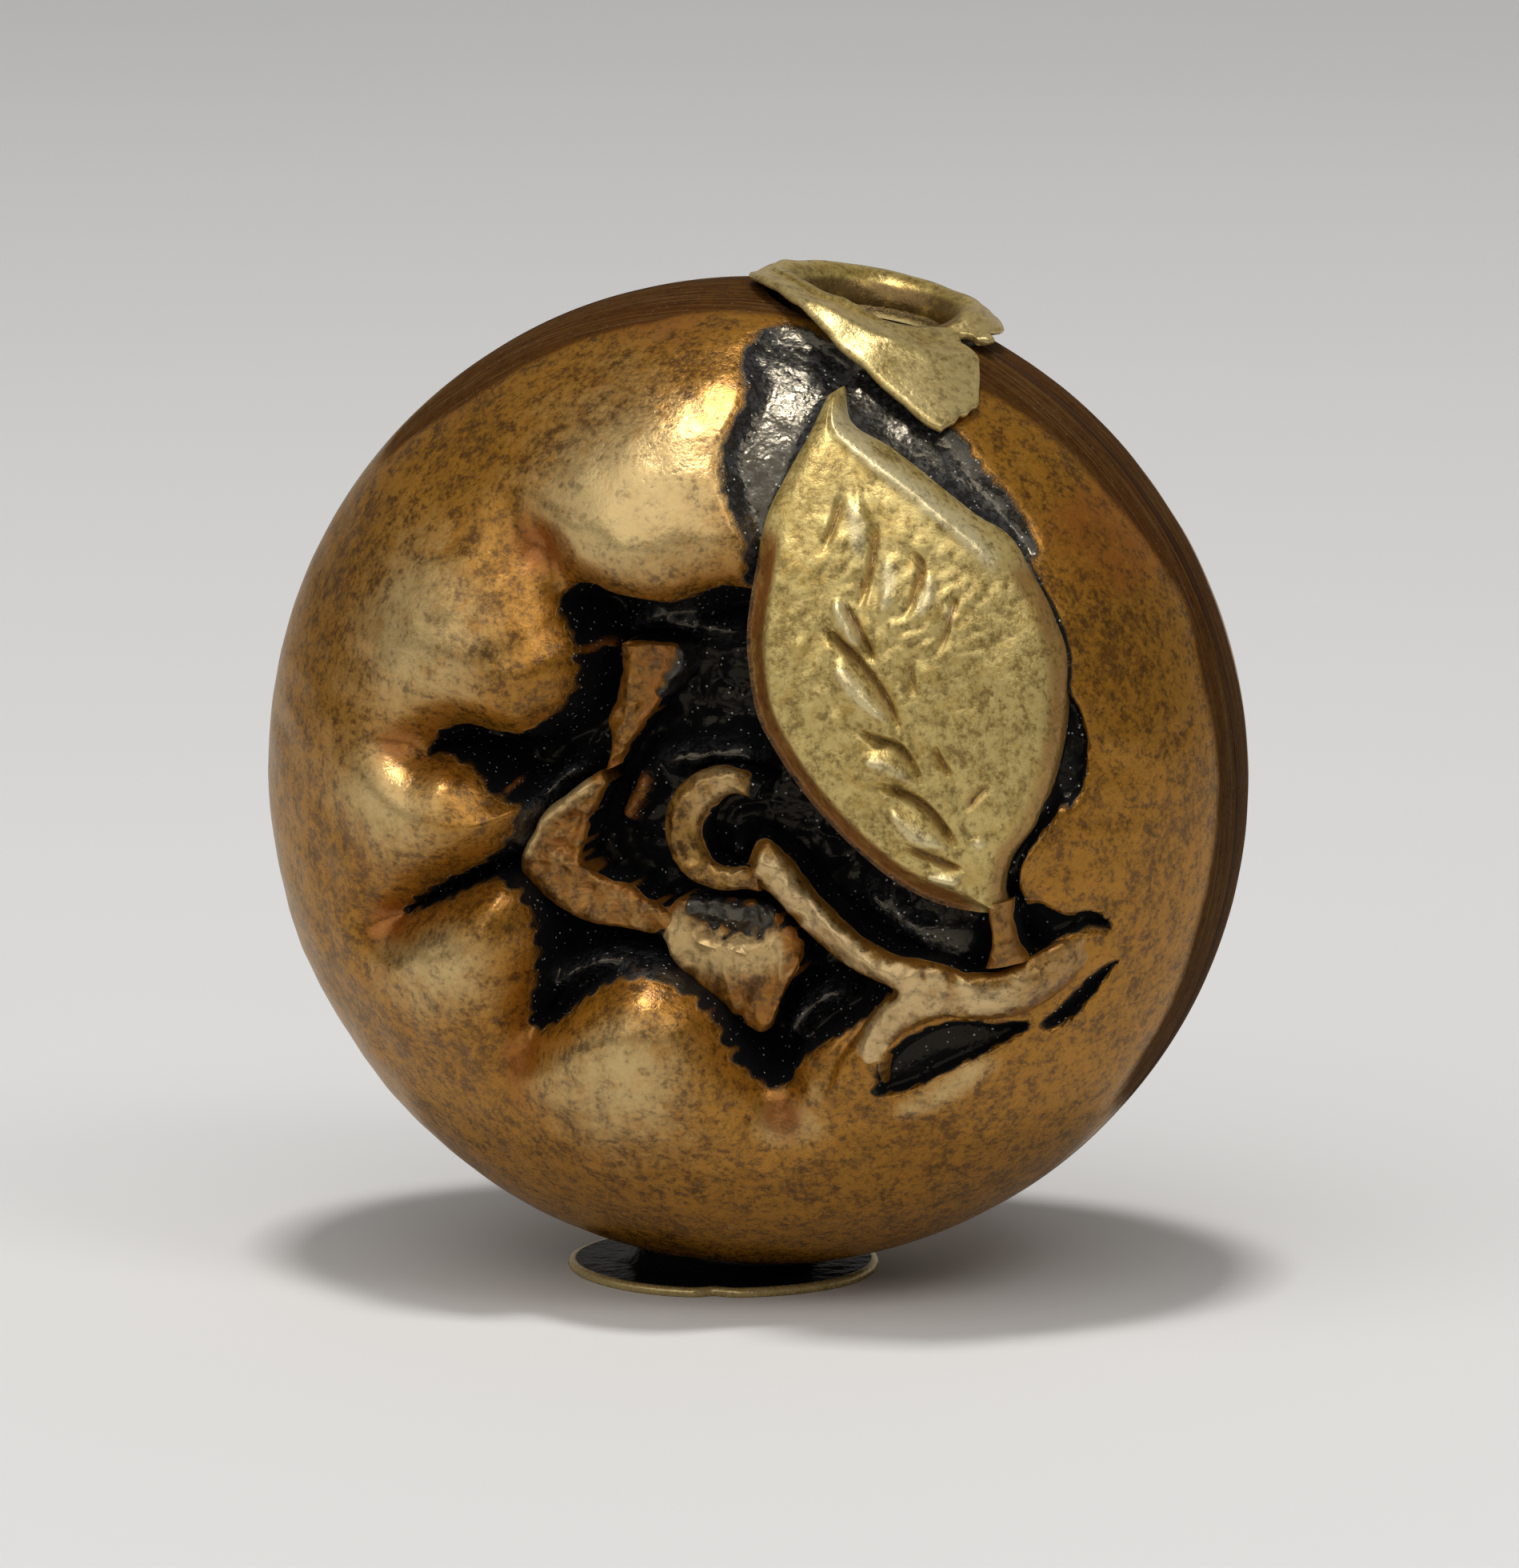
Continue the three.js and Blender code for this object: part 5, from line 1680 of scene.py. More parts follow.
@dataclass(kw_only=True)
class LeafBlade(BeadPiece):
    """The brass leaf: a rolled edge, a midrib and chased veins.

    The rib's valley and crest are a width, a height and a fade each.
    """

    body: BeadBody
    rise: float = 0.36
    edge_roll: float = 0.5
    crisp_roll: float = 0.2
    crisp_across: Span = (0.5, 0.8)
    crisp_up: Span = (2.5, 4.0)
    roll_power: float = 2.2
    edge_level: float = 0.04
    plate: float = 0.5
    outline_steps: int = 4
    rows_between: int = 17
    columns: int = 160
    rails: Knots = (
        (5.6, -1.34, 5.74, -1.2), (5.2, -1.3, 5.68, -0.85), (4.59, -1.13, 5.8, -0.35),
        (3.98, -0.78, 6.13, 0.17), (3.46, -0.35, 6.36, 0.78), (2.93, 0.17, 6.5, 1.48),
        (2.41, 0.78, 6.54, 2.09), (1.98, 1.39, 6.5, 2.96), (1.63, 2.0, 6.24, 3.65),
        (1.46, 2.7, 5.89, 4.26), (1.37, 3.4, 5.4, 4.9), (1.42, 4.3, 4.85, 5.3),
        (1.59, 5.3, 4.15, 5.83), (1.8, 5.91, 3.37, 6.35), (2.07, 6.61, 2.67, 6.78),
        (2.22, 7.2, 2.36, 7.3),
    )
    midrib: Knots = (
        (5.55, -0.89), (5.24, -0.16), (4.92, 0.76), (4.57, 1.6), (4.14, 2.42), (3.77, 3.1),
        (3.52, 3.84), (3.44, 4.83), (3.16, 5.61), (2.71, 6.57),
    )
    rib_valley: tuple[float, float, float] = (0.28, -0.07, 0.15)
    rib_crest: tuple[float, float, float] = (0.07, 0.06, 0.15)
    grooves: Sequence[Stroke] = (
        Stroke(
            ((2.7, 3.66, 0.6), (3.2, 3.24), (3.52, 2.9), (3.85, 2.43), (4.18, 1.82, 0.7)),
            0.07, -0.26, 0.2,
        ),
        Stroke(
            ((3.3, 2.0, 0.5), (3.78, 1.74), (4.08, 1.64), (4.29, 1.39), (4.55, 0.9, 0.7)),
            0.065, -0.25, 0.3,
        ),
        Stroke(
            ((3.7, 1.02, 0.6), (4.2, 0.84), (4.53, 0.63), (4.79, 0.31), (5.08, -0.15, 0.7)),
            0.07, -0.28, 0.2,
        ),
        Stroke(((4.2, 0.02, 0.7), (4.67, -0.25), (5.22, -0.5, 0.7)), 0.065, -0.19, 0.25),
        Stroke(((3.08, 4.05, 0.7), (3.38, 3.57), (3.66, 3.0, 0.7)), 0.06, -0.2, 0.2),
        Stroke(((3.43, 5.43), (3.47, 4.57), (3.37, 3.91)), 0.055, -0.15, 0.3),
        Stroke(((3.92, 4.89), (4.24, 4.62), (4.21, 4.1), (4.1, 3.7)), 0.055, -0.13, 0.3),
        Stroke(((4.87, 4.25), (4.8, 3.69), (4.62, 3.02)), 0.06, -0.12, 0.3),
        Stroke(((4.6, 1.73), (4.81, 1.32), (4.97, 1.1)), 0.055, -0.15, 0.3),
        Stroke(((5.14, 0.47), (5.36, 0.81), (5.6, 1.01)), 0.09, -0.1, 0.3),
        Stroke(((2.85, 5.9), (2.8, 5.3), (2.65, 4.7)), 0.07, -0.12, 0.4),
        Stroke(((4.3, 3.3), (4.25, 2.8), (4.4, 2.3)), 0.06, -0.12, 0.4),
    )
    bars: Sequence[Stroke] = (
        Stroke(((2.98, 3.12, 0.45), (3.48, 2.52, 1.1), (4.08, 1.98, 0.45)), 0.17, 0.2, 0.24),
        Stroke(((3.52, 1.46, 0.5), (3.95, 1.33, 1.1), (4.45, 0.98, 0.4)), 0.16, 0.19, 0.24),
        Stroke(((3.96, 0.68, 0.45), (4.38, 0.22, 1.1), (5.0, -0.12, 0.45)), 0.17, 0.2, 0.24),
        Stroke(((4.56, -0.54, 0.6), (5.17, -0.67, 0.8)), 0.15, 0.16, 0.2),
        Stroke(((2.93, 4.1, 0.5), (3.17, 3.71, 1.0), (3.5, 3.2, 0.4)), 0.15, 0.16, 0.24),
        Stroke(((2.95, 5.78, 0.6), (3.18, 5.22, 1.1), (3.28, 4.6, 0.5)), 0.15, 0.1, 0.3),
        Stroke(((3.64, 4.86, 0.5), (3.8, 4.3, 1.1), (3.72, 3.74, 0.5)), 0.13, 0.1, 0.3),
        Stroke(((4.42, 4.55, 0.5), (4.42, 4.1, 1.0), (4.3, 3.67, 0.5)), 0.12, 0.09, 0.3),
        Stroke(((4.72, 4.01), (4.86, 3.61)), 0.09, 0.06, 0.4),
        Stroke(((5.3, 0.08), (5.52, -0.14)), 0.1, 0.09, 0.4),
    )
    beads: Knots = (
        (2.59, 2.76), (2.84, 2.49), (3.1, 2.12), (3.23, 1.36), (3.47, 1.12), (3.67, 0.91),
        (3.94, 0.7), (2.9, 3.24), (2.42, 3.3), (2.2, 4.6), (3.19, 5.4), (3.04, 5.03), (3.84, 4.68),
        (4.12, 4.42), (3.91, 4.1), (4.23, 3.86), (3.9, 3.63), (4.17, 3.27), (4.49, 2.91),
        (3.89, 3.04), (3.47, 3.93), (2.72, 5.26), (3.28, 6.05),
    )
    bead_rise: float = 0.045
    bead_spread: float = 0.12
    # The rolled rim: a ridge, which the wear mask also paints as a highlight.
    rim_roll: Stroke = Stroke(
        (
            (2.3, 7.25), (2.62, 6.78), (3.1, 6.36), (3.64, 6.0), (4.18, 5.62), (4.7, 5.2),
            (5.15, 4.8), (5.5, 4.3),
        ),
        0.14, 0.13, 0.15,
    )
    flank_level: float = -0.32
    flank_width: float = 0.58
    flank_across: Span = (-0.1, 0.25)
    flank_up: Span = (4.2, 5.6)
    broad: Unevenness = Unevenness(101, 1.6, 0.016)
    hammered: Unevenness = Unevenness(102, 0.6, 0.006)
    crumple: Unevenness = Unevenness(103, 0.5, 0.034)
    crumpled: Lobe = Lobe(3.9, 3.9, 1.0, 1.4)

    node = "leaf_blade"
    metal = Metal.LEAF
    word = "brass"

    @property
    def outline(self) -> Run:
        """The leaf's edge as one closed run."""
        rails = through(self.rails, self.outline_steps)
        return Run(np.vstack([rails[:, :2], rails[::-1, 2:], rails[:1, :2]]))

    def chased(self, x: Array, z: Array) -> Array:
        """The height of the midrib, the beads, the veins and the rolled rim."""
        rib = Stroke(self.midrib, *self.rib_valley).relief(x, z)
        rib = rib + Stroke(self.midrib, *self.rib_crest).relief(x, z)
        for across, up in self.beads:
            rib = rib + Lobe(across, up, self.bead_rise, self.bead_spread).relief(x, z)
        veins = rib + relief(self.grooves, x, z) + relief(self.bars, x, z)
        return veins + self.rim_roll.relief(x, z)

    def draft(self) -> Draft:
        """The leaf as one closed plate that follows the dome."""
        even = np.linspace(0.0, 1.0, self.columns)[None, :]
        share = mix(even, (1 - np.cos(math.pi * even)) / 2, 0.5)
        x, z = between(through(self.rails, self.rows_between), share)
        dome = self.body.dome(x, z)
        inset = self.outline.depth_inside(x, z)
        crisp = smooth(share, *self.crisp_across) * smooth(z, *self.crisp_up)
        depth = np.clip(inset / mix(self.edge_roll, self.crisp_roll, crisp), 0.0, 1.0)
        left = smooth(0.5 - share, *self.flank_across) * (1 - smooth(z, *self.flank_up))
        rounded = np.sqrt(np.maximum(0.0, 1 - (1 - depth) ** self.roll_power))
        roll = mix(rounded, smooth(inset, 0.0, self.flank_width), left)
        rough = self.broad.on_face(x, z) + self.hammered.on_face(x, z)
        rough = rough + self.crumpled.relief(x, z) * np.abs(self.crumple.on_face(x, z))
        edge = mix(self.edge_level, self.flank_level, left)
        top = dome + mix(edge, self.rise, roll) + roll * (self.chased(x, z) + rough)
        under = self.body.points_at(x, z, dome - self.plate)
        return slab(self.body.points_at(x, z, top), under)

    def masks(self, points: Array) -> dict[str, Array]:
        """Painted shade in the grooves and creases, under the plate and at the left flank's foot;
        worn bars that are partly painted highlight, a painted highlight on the rolled rim, and a
        rusty flank.
        """
        x, _, z = points.T
        folds = np.abs(self.crumple.on_face(x, z)) / self.crumple.height
        # Painted shade, dark and brown, in the crumpled creases.
        crease = self.crumpled.share(x, z) * (1 - smooth(folds, 0.0, 0.35))
        level = self.body.height_of(points) - self.body.dome(x, z)
        inset = self.outline.depth_inside(x, z)
        width = self.flank_width
        left = (1 - smooth(x + 0.1 * z, 4.6, 5.6)) * (1 - smooth(z, 4.6, 5.6))
        flank = left * (1 - smooth(inset, 0.5 * width, width))
        # Painted shade at the foot of the left flank.
        foot = left * (1 - smooth(inset, 0.05 * width, 0.4 * width))
        edge = 0.6 * smooth(x, 5.2, 5.7) * (1 - smooth(z, 4.2, 5.0))
        edge = edge * (1 - smooth(inset, 0.08, 0.4))
        # Painted shade under the plate.
        under = 1 - smooth(level, -0.46, -0.36)
        # Painted shade in the grooves, and brown painted shade beside them.
        cut, beside = cover(self.grooves, x, z, 0.6), cover(self.grooves, x, z, 1.4)
        return {
            "soot": np.maximum.reduce([under, 0.55 * foot, 0.5 * cut, 0.2 * crease]),
            "rust": np.maximum.reduce([flank, 0.5 * beside, 0.4 * crease, edge]),
            # The bars' wear is partly painted highlight; the rolled rim's is painted highlight.
            "wear": np.maximum(0.8 * cover(self.bars, x, z), self.rim_roll.cover(x, z)),
        }


class Wire:
    """A value in a shader, which takes part in sums as a number does."""

    def __init__(self, paint: "Paint", socket: bpy.types.NodeSocket) -> None:
        """Wraps a node's output.

        Args:
            paint: The paint that the node belongs to.
            socket: The output.
        """
        self.paint = paint
        self.socket = socket

    def maths(self, operation: str, first: Any, second: Any) -> "Wire":
        """A sum of two values, of which either may be a number."""
        settings = {"operation": operation}
        return self.paint.value("ShaderNodeMath", settings, {0: first, 1: second})

    def __add__(self, other: Any) -> "Wire":
        """The sum."""
        return self.maths("ADD", self, other)

    def __radd__(self, other: Any) -> "Wire":
        """The sum."""
        return self.maths("ADD", other, self)

    def __sub__(self, other: Any) -> "Wire":
        """The difference."""
        return self.maths("SUBTRACT", self, other)

    def __rsub__(self, other: Any) -> "Wire":
        """The difference from a number."""
        return self.maths("SUBTRACT", other, self)

    def __mul__(self, other: Any) -> "Wire":
        """The product."""
        return self.maths("MULTIPLY", self, other)

    def __rmul__(self, other: Any) -> "Wire":
        """The product."""
        return self.maths("MULTIPLY", other, self)

    def peak(self, other: Any) -> "Wire":
        """The larger of the two."""
        return self.maths("MAXIMUM", self, other)

    def step(self, low: float, high: float) -> "Wire":
        """A soft step from 0 at low to 1 at high."""
        settings = {"interpolation_type": "SMOOTHSTEP", "clamp": True}
        sockets = {0: self, 1: low, 2: high, 3: 0.0, 4: 1.0}
        return self.paint.value("ShaderNodeMapRange", settings, sockets)


class Paint:
    """A material's nodes, added one at a time."""

    def __init__(self, name: str) -> None:
        """Starts a material.

        Args:
            name: The material's name.
        """
        self.material = bpy.data.materials.new(name)
        self.material.use_nodes = True
        self.tree = self.material.node_tree
        self.tree.nodes.clear()

    def node(
        self, kind: str, settings: Settings = None, sockets: Sockets = None
    ) -> bpy.types.Node:
        """Adds a node.

        Args:
            kind: The node's type.
            settings: Its settings.
            sockets: Its inputs by name or number, each a plain value or a wire.

        Returns:
            The node.
        """
        made = self.tree.nodes.new(kind)
        for name, value in (settings or {}).items():
            setattr(made, name, value)
        for name, value in (sockets or {}).items():
            if isinstance(value, Wire):
                self.tree.links.new(value.socket, made.inputs[name])
            else:
                made.inputs[name].default_value = value
        return made

    def value(
        self, kind: str, settings: Settings = None, sockets: Sockets = None, output: int | str = 0
    ) -> Wire:
        """Adds a node and wraps one of its outputs."""
        return Wire(self, self.node(kind, settings, sockets).outputs[output])

    def blend(self, share: Any, a: Any, b: Any) -> Wire:
        """The colour that lies a share of the way from a to b."""
        a, b = (c if isinstance(c, Wire) else (*c, 1.0) for c in (a, b))
        settings = {"data_type": "RGBA", "clamp_factor": True}
        return self.value("ShaderNodeMix", settings, {0: share, 6: a, 7: b}, 2)

    def mask(self, name: str) -> Wire:
        """A patina's share, painted on the mesh."""
        return self.value("ShaderNodeAttribute", {"attribute_name": name}, output="Fac")

    def object_place(self) -> Wire:
        """The place on the object, in metres."""
        return self.value("ShaderNodeTexCoord", output="Object")

    def place(self, stretch: Sequence[float] = (1.0, 1.0, 1.0)) -> Wire:
        """The place on the bead in millimetres, stretched along each axis."""
        where, scale = self.object_place(), [share / MM for share in stretch]
        return self.value("ShaderNodeVectorMath", {"operation": "MULTIPLY"}, {0: where, 1: scale})

    def noise(self, where: Wire, length: float, detail: float = 3.0, rough: float = 0.55) -> Wire:
        """Cloudy noise of about one length in the place's unit, from 0 to 1."""
        sockets = {"Vector": where, "Scale": 1 / length, "Detail": detail, "Roughness": rough}
        return self.value("ShaderNodeTexNoise", {"noise_dimensions": "3D"}, sockets)

    def surface(self, sockets: Mapping[str, Any]) -> Wire:
        """A principled surface."""
        return self.value("ShaderNodeBsdfPrincipled", sockets=sockets)

    def finish(self, surface: Wire) -> bpy.types.Material:
        """Ends the material in a surface."""
        self.node("ShaderNodeOutputMaterial", sockets={"Surface": surface})
        return self.material


@dataclass(frozen=True)
class Patina:
    """An aged metal: its colours from hollow to crest, its sheen and its texture.

    Lengths and depths are in millimetres. A span is where a soft step starts and ends.
    """

    metal: Metal
    deep: Colour
    body: Colour
    worn: Colour
    rust: Colour
    amber: Colour
    soot: Colour = (0.0075, 0.0075, 0.0078)
    # A grey painted over the black where the sheen mask lies: a painted sheen.
    painted_sheen_grey: Colour = (0.042, 0.042, 0.043)
    band: Colour = (0.035, 0.012, 0.004)
    filed: Colour = (0.075, 0.04, 0.016)
    pepper: Colour = (0.04, 0.017, 0.005)
    dust: Colour = (0.55, 0.54, 0.5)
    edge_tint: Colour = (0.85, 0.72, 0.5)
    metallic: float = 0.5
    roughness: float = 0.28
    matt_roughness: float = 0.9
    blotch_length: float = 1.9
    mottle_length: float = 0.28
    grain_length: float = 0.1
    amber_length: float = 0.42
    crinkle_length: float = 0.45
    dust_length: float = 0.8
    speck_length: float = 0.15
    file_stretch: tuple[float, float, float] = (0.35, 15.0, 0.35)
    dent_depth: float = 0.016
    grain_depth: float = 0.007
    filing_depth: float = 0.012
    crust_depth: float = 0.07
    pepper_share: float = 0.35
    dust_share: float = 0.9
    tone_span: Span = (0.42, 0.57)
    crest_span: Span = (0.15, 1.0)
    rust_span: Span = (0.2, 0.85)
    amber_span: Span = (0.5, 0.64)
    pepper_span: Span = (0.48, 0.38)
    band_span: Span = (0.2, 0.8)
    filed_span: Span = (0.46, 0.66)
    soot_span: Span = (0.3, 0.7)
    sheen_span: Span = (0.44, 0.6)
    speck_span: Span = (0.16, 0.09)
    dust_span: Span = (0.36, 0.54)

    def material(self) -> bpy.types.Material:
        """The finish as a material."""
        paint = Paint(f"{self.metal.value}_finish")
        where = paint.place()
        soot, rust, wear, band, sheen = map(paint.mask, ("soot", "rust", "wear", "band", "sheen"))
        blotch = paint.noise(where, self.blotch_length, 4.0)
        mottle = paint.noise(where, self.mottle_length, 4.0, 0.62)
        grain = paint.noise(where, self.grain_length, 4.0, 0.7)
        filed = paint.noise(paint.place(self.file_stretch), 1.0, 3.0, 0.6)
        tone = (0.2 * blotch + 0.4 * mottle + 0.4 * grain).step(*self.tone_span)
        colour = paint.blend(tone, self.deep, self.body)
        # This mask is real rubbing on crests, and painted highlights where the pieces lay them;
        # both take the worn colour.
        crest = wear + 0.5 * mottle + 0.35 * grain + 0.9 * (blotch - 0.5) - 0.42
        crest = crest.step(*self.crest_span)
        colour = paint.blend(0.85 * crest, colour, self.worn)
        # This mask is real rust, and on the eyelet's neck and the leaf's grooves and creases a
        # painted brown shade.
        rusty = rust + 0.6 * mottle + 0.4 * grain + 0.5 * (blotch - 0.5) - 0.5
        colour = paint.blend(0.85 * rusty.step(*self.rust_span), colour, self.rust)
        amber = paint.noise(where, self.amber_length, 5.0, 0.75).step(*self.amber_span)
        colour = paint.blend(0.55 * amber * (1 - 0.7 * crest), colour, self.amber)
        speckle = 0.5 * mottle + 0.5 * grain
        pepper = self.pepper_share * speckle.step(*self.pepper_span)
        colour = paint.blend(pepper, colour, self.pepper)
        banded = (band + 0.6 * mottle + 0.3 * filed - 0.45).step(*self.band_span)
        scored = paint.blend(filed.step(*self.filed_span), self.band, self.filed)
        colour = paint.blend(0.9 * banded, colour, scored)
        # This mask is real blackening in the pit and patches, and painted shade on other pieces;
        # both take the black colour.
        sooty = (soot + 0.5 * grain + 0.3 * mottle - 0.4).step(*self.soot_span)
        # Painted sheen: where the sheen mask lies, the black turns grey.
        grey = sheen * speckle.step(*self.sheen_span)
        colour = paint.blend(sooty, colour, paint.blend(grey, self.soot, self.painted_sheen_grey))
        cells = {"Vector": where, "Scale": 1 / self.speck_length}
        specks = paint.value("ShaderNodeTexVoronoi", sockets=cells).step(*self.speck_span)
        dust = specks * paint.noise(where, self.dust_length).step(*self.dust_span)
        colour = paint.blend(self.dust_share * dust * (0.1 + 0.9 * sooty), colour, self.dust)
        crinkle = paint.noise(where, self.crinkle_length, 3.0, 0.5)
        height = (self.dent_depth * mottle + self.grain_depth * grain) * (1 - 0.6 * sooty)
        height = height + self.filing_depth * (banded * filed)
        height = height + self.crust_depth * (sooty * crinkle)
        relief_sockets = {"Strength": 1.0, "Distance": MM, "Height": height}
        bump = paint.value("ShaderNodeBump", sockets=relief_sockets)
        gloss = self.roughness + 0.3 * (grain - 0.5) - 0.04 * crest - 0.06 * sooty + 0.1 * grey
        shiny = paint.surface({
            "Base Color": colour,
            "Metallic": self.metallic * (1 - 0.8 * sooty),
            "Roughness": gloss,
            "Normal": bump,
            "Specular IOR Level": 1.0,
            "Specular Tint": (*self.edge_tint, 1.0),
        })
        dull = paint.surface({
            "Base Color": colour,
            "Roughness": self.matt_roughness,
            "Normal": bump,
            "Specular IOR Level": 0.0,
        })
        matt = (0.92 * banded).peak(0.75 * sooty * (1 - sheen))
        both = {0: matt, 1: shiny, 2: dull}
        return paint.finish(paint.value("ShaderNodeMixShader", sockets=both))


FINISHES = (
    Patina(
        Metal.SHELL, (0.15, 0.06, 0.006), (0.36, 0.155, 0.012), (0.66, 0.48, 0.21),
        (0.3, 0.085, 0.009), (0.42, 0.17, 0.012),
    ),
    Patina(
        Metal.TWIG, (0.12, 0.052, 0.009), (0.35, 0.18, 0.032), (0.7, 0.5, 0.24),
        (0.27, 0.105, 0.012), (0.38, 0.17, 0.014), metallic=0.45, roughness=0.33,
        dent_depth=0.022, blotch_length=0.7,
    ),
    Patina(
        Metal.CALYX, (0.11, 0.042, 0.006), (0.31, 0.13, 0.014), (0.68, 0.47, 0.2),
        (0.3, 0.1, 0.009), (0.42, 0.17, 0.01), metallic=0.4, roughness=0.36,
        dent_depth=0.022, blotch_length=0.7,
    ),
    Patina(
        Metal.EYELET, (0.26, 0.18, 0.045), (0.48, 0.35, 0.1), (0.58, 0.45, 0.2),
        (0.12, 0.06, 0.015), (0.38, 0.24, 0.05), roughness=0.3, pepper_share=0.3, dust_share=0.0,
    ),
    Patina(
        Metal.SOLDER, (0.05, 0.032, 0.02), (0.1, 0.07, 0.045), (0.2, 0.16, 0.11),
        (0.08, 0.04, 0.015), (0.1, 0.06, 0.03), dust_share=0.0,
    ),
    Patina(
        Metal.TUBE, (0.05, 0.03, 0.014), (0.11, 0.07, 0.03), (0.4, 0.3, 0.15),
        (0.1, 0.04, 0.01), (0.12, 0.07, 0.02), dust_share=0.0,
    ),
    Patina(
        Metal.LEAF, (0.35, 0.24, 0.068), (0.61, 0.46, 0.165), (0.74, 0.62, 0.34),
        (0.24, 0.065, 0.005), (0.49, 0.31, 0.07), roughness=0.36, dent_depth=0.024,
        grain_depth=0.012,
    ),
)


@dataclass(frozen=True)
class Lamp:
    """A soft square lamp that faces the bead.

    Its azimuth is 0 toward the viewer's side and its elevation is above the floor, in degrees.
    Its distance and the side of its square are in metres, and its power in watts.
    """

    name: str
    azimuth: float
    elevation: float
    distance: float
    size: float
    power: float


@dataclass
class Studio:
    """The camera, the soft lights, and the pale floor that runs up into a backdrop."""

    bead_middle: Vector
    azimuth: float = math.radians(16)
    elevation: float = math.radians(9.6)
    eye: float = 0.2
    aim_across: float = 0.00002
    aim_down: float = 0.000139
    lens: float = 264.5
    sensor: float = 36.0
    clip: Span = (0.005, 5.0)
    floor_colour: Colour = (0.76, 0.75, 0.73)
    floor_shade: float = 0.985
    floor_roughness: float = 0.85
    cloud_length: float = 0.05
    cloud_span: Span = (0.3, 0.7)
    half_width: float = 0.6
    back: float = 0.5
    backdrop_height: float = 0.5
    bend: float = 0.25
    bend_steps: int = 16
    world_colour: Colour = (0.95, 0.97, 1.0)
    world_level: float = 0.14
    lamps: Sequence[Lamp] = (
        Lamp("key", 6, 84, 0.4, 0.06, 0.8),
        Lamp("front", -8, 50, 0.45, 0.52, 0.95),
        Lamp("left", -62, 30, 0.4, 0.2, 0.06),
        Lamp("right", 58, 48, 0.4, 0.12, 0.2),
    )

    def way(self, azimuth: float, elevation: float) -> Vector:
        """The way from the bead toward an azimuth and elevation, in radians."""
        flat = math.cos(elevation)
        return Vector((math.sin(azimuth) * flat, -math.cos(azimuth) * flat, math.sin(elevation)))

    def camera(self) -> None:
        """Sets the photograph's view."""
        data = bpy.data.cameras.new("view")
        data.sensor_fit = "AUTO"
        data.sensor_width = self.sensor
        data.lens = self.lens
        data.clip_start, data.clip_end = self.clip
        eye = linked("view", data)
        way = self.way(self.azimuth, self.elevation)
        right = Vector((math.cos(self.azimuth), math.sin(self.azimuth), 0.0))
        above = way.cross(right)
        target = self.bead_middle + self.aim_across * right - self.aim_down * above
        eye.location = self.bead_middle + self.eye * way
        eye.rotation_euler = (target - eye.location).to_track_quat("-Z", "Y").to_euler()
        bpy.context.scene.camera = eye

    def light(self, lamp: Lamp) -> None:
        """Sets up a lamp."""
        data = bpy.data.lights.new(lamp.name, "AREA")
        data.shape = "SQUARE"
        data.size = lamp.size
        data.energy = lamp.power
        head = linked(lamp.name, data)
        way = self.way(math.radians(lamp.azimuth), math.radians(lamp.elevation))
        head.location = self.bead_middle + lamp.distance * way
        head.rotation_euler = way.to_track_quat("Z", "Y").to_euler()

    def floor_finish(self) -> bpy.types.Material:
        """A matt, faintly clouded finish."""
        paint = Paint("studio_floor_finish")
        clouds = paint.noise(paint.object_place(), self.cloud_length).step(*self.cloud_span)
        shade = tuple(self.floor_shade * c for c in self.floor_colour)
        colour = paint.blend(clouds, self.floor_colour, shade)
        return paint.finish(paint.surface({
            "Base Color": colour, "Roughness": self.floor_roughness,
        }))

    def floor(self) -> None:
        """Lays the floor, which curves up behind the bead."""
        front, bend = self.back - self.bend, self.bend
        profile = [(-self.half_width, 0.0), (front, 0.0)]
        for turn in quarter(self.bend_steps):
            profile.append((front + bend * math.sin(turn), bend - bend * math.cos(turn)))
        profile.append((self.back, self.backdrop_height))
        points = [(side * self.half_width, y, z) for y, z in profile for side in (-1, 1)]
        faces = [[2 * i, 2 * i + 1, 2 * i + 3, 2 * i + 2] for i in range(len(profile) - 1)]
        mesh = bpy.data.meshes.new("studio_floor")
        mesh.from_pydata(points, [], faces)
        mesh.shade_smooth()
        floor = linked("studio_floor", mesh)
        mesh.materials.append(self.floor_finish())

    def world(self) -> None:
        """Sets a low, even grey all round."""
        world = bpy.data.worlds.new("studio")
        world.use_nodes = True
        background = world.node_tree.nodes["Background"]
        background.inputs["Color"].default_value = (*self.world_colour, 1.0)
        background.inputs["Strength"].default_value = self.world_level
        bpy.context.scene.world = world

    def build(self) -> None:
        """Sets up everything round the bead."""
        bpy.context.scene.view_settings.view_transform = "Standard"
        self.camera()
        self.world()
        self.floor()
        for lamp in self.lamps:
            self.light(lamp)


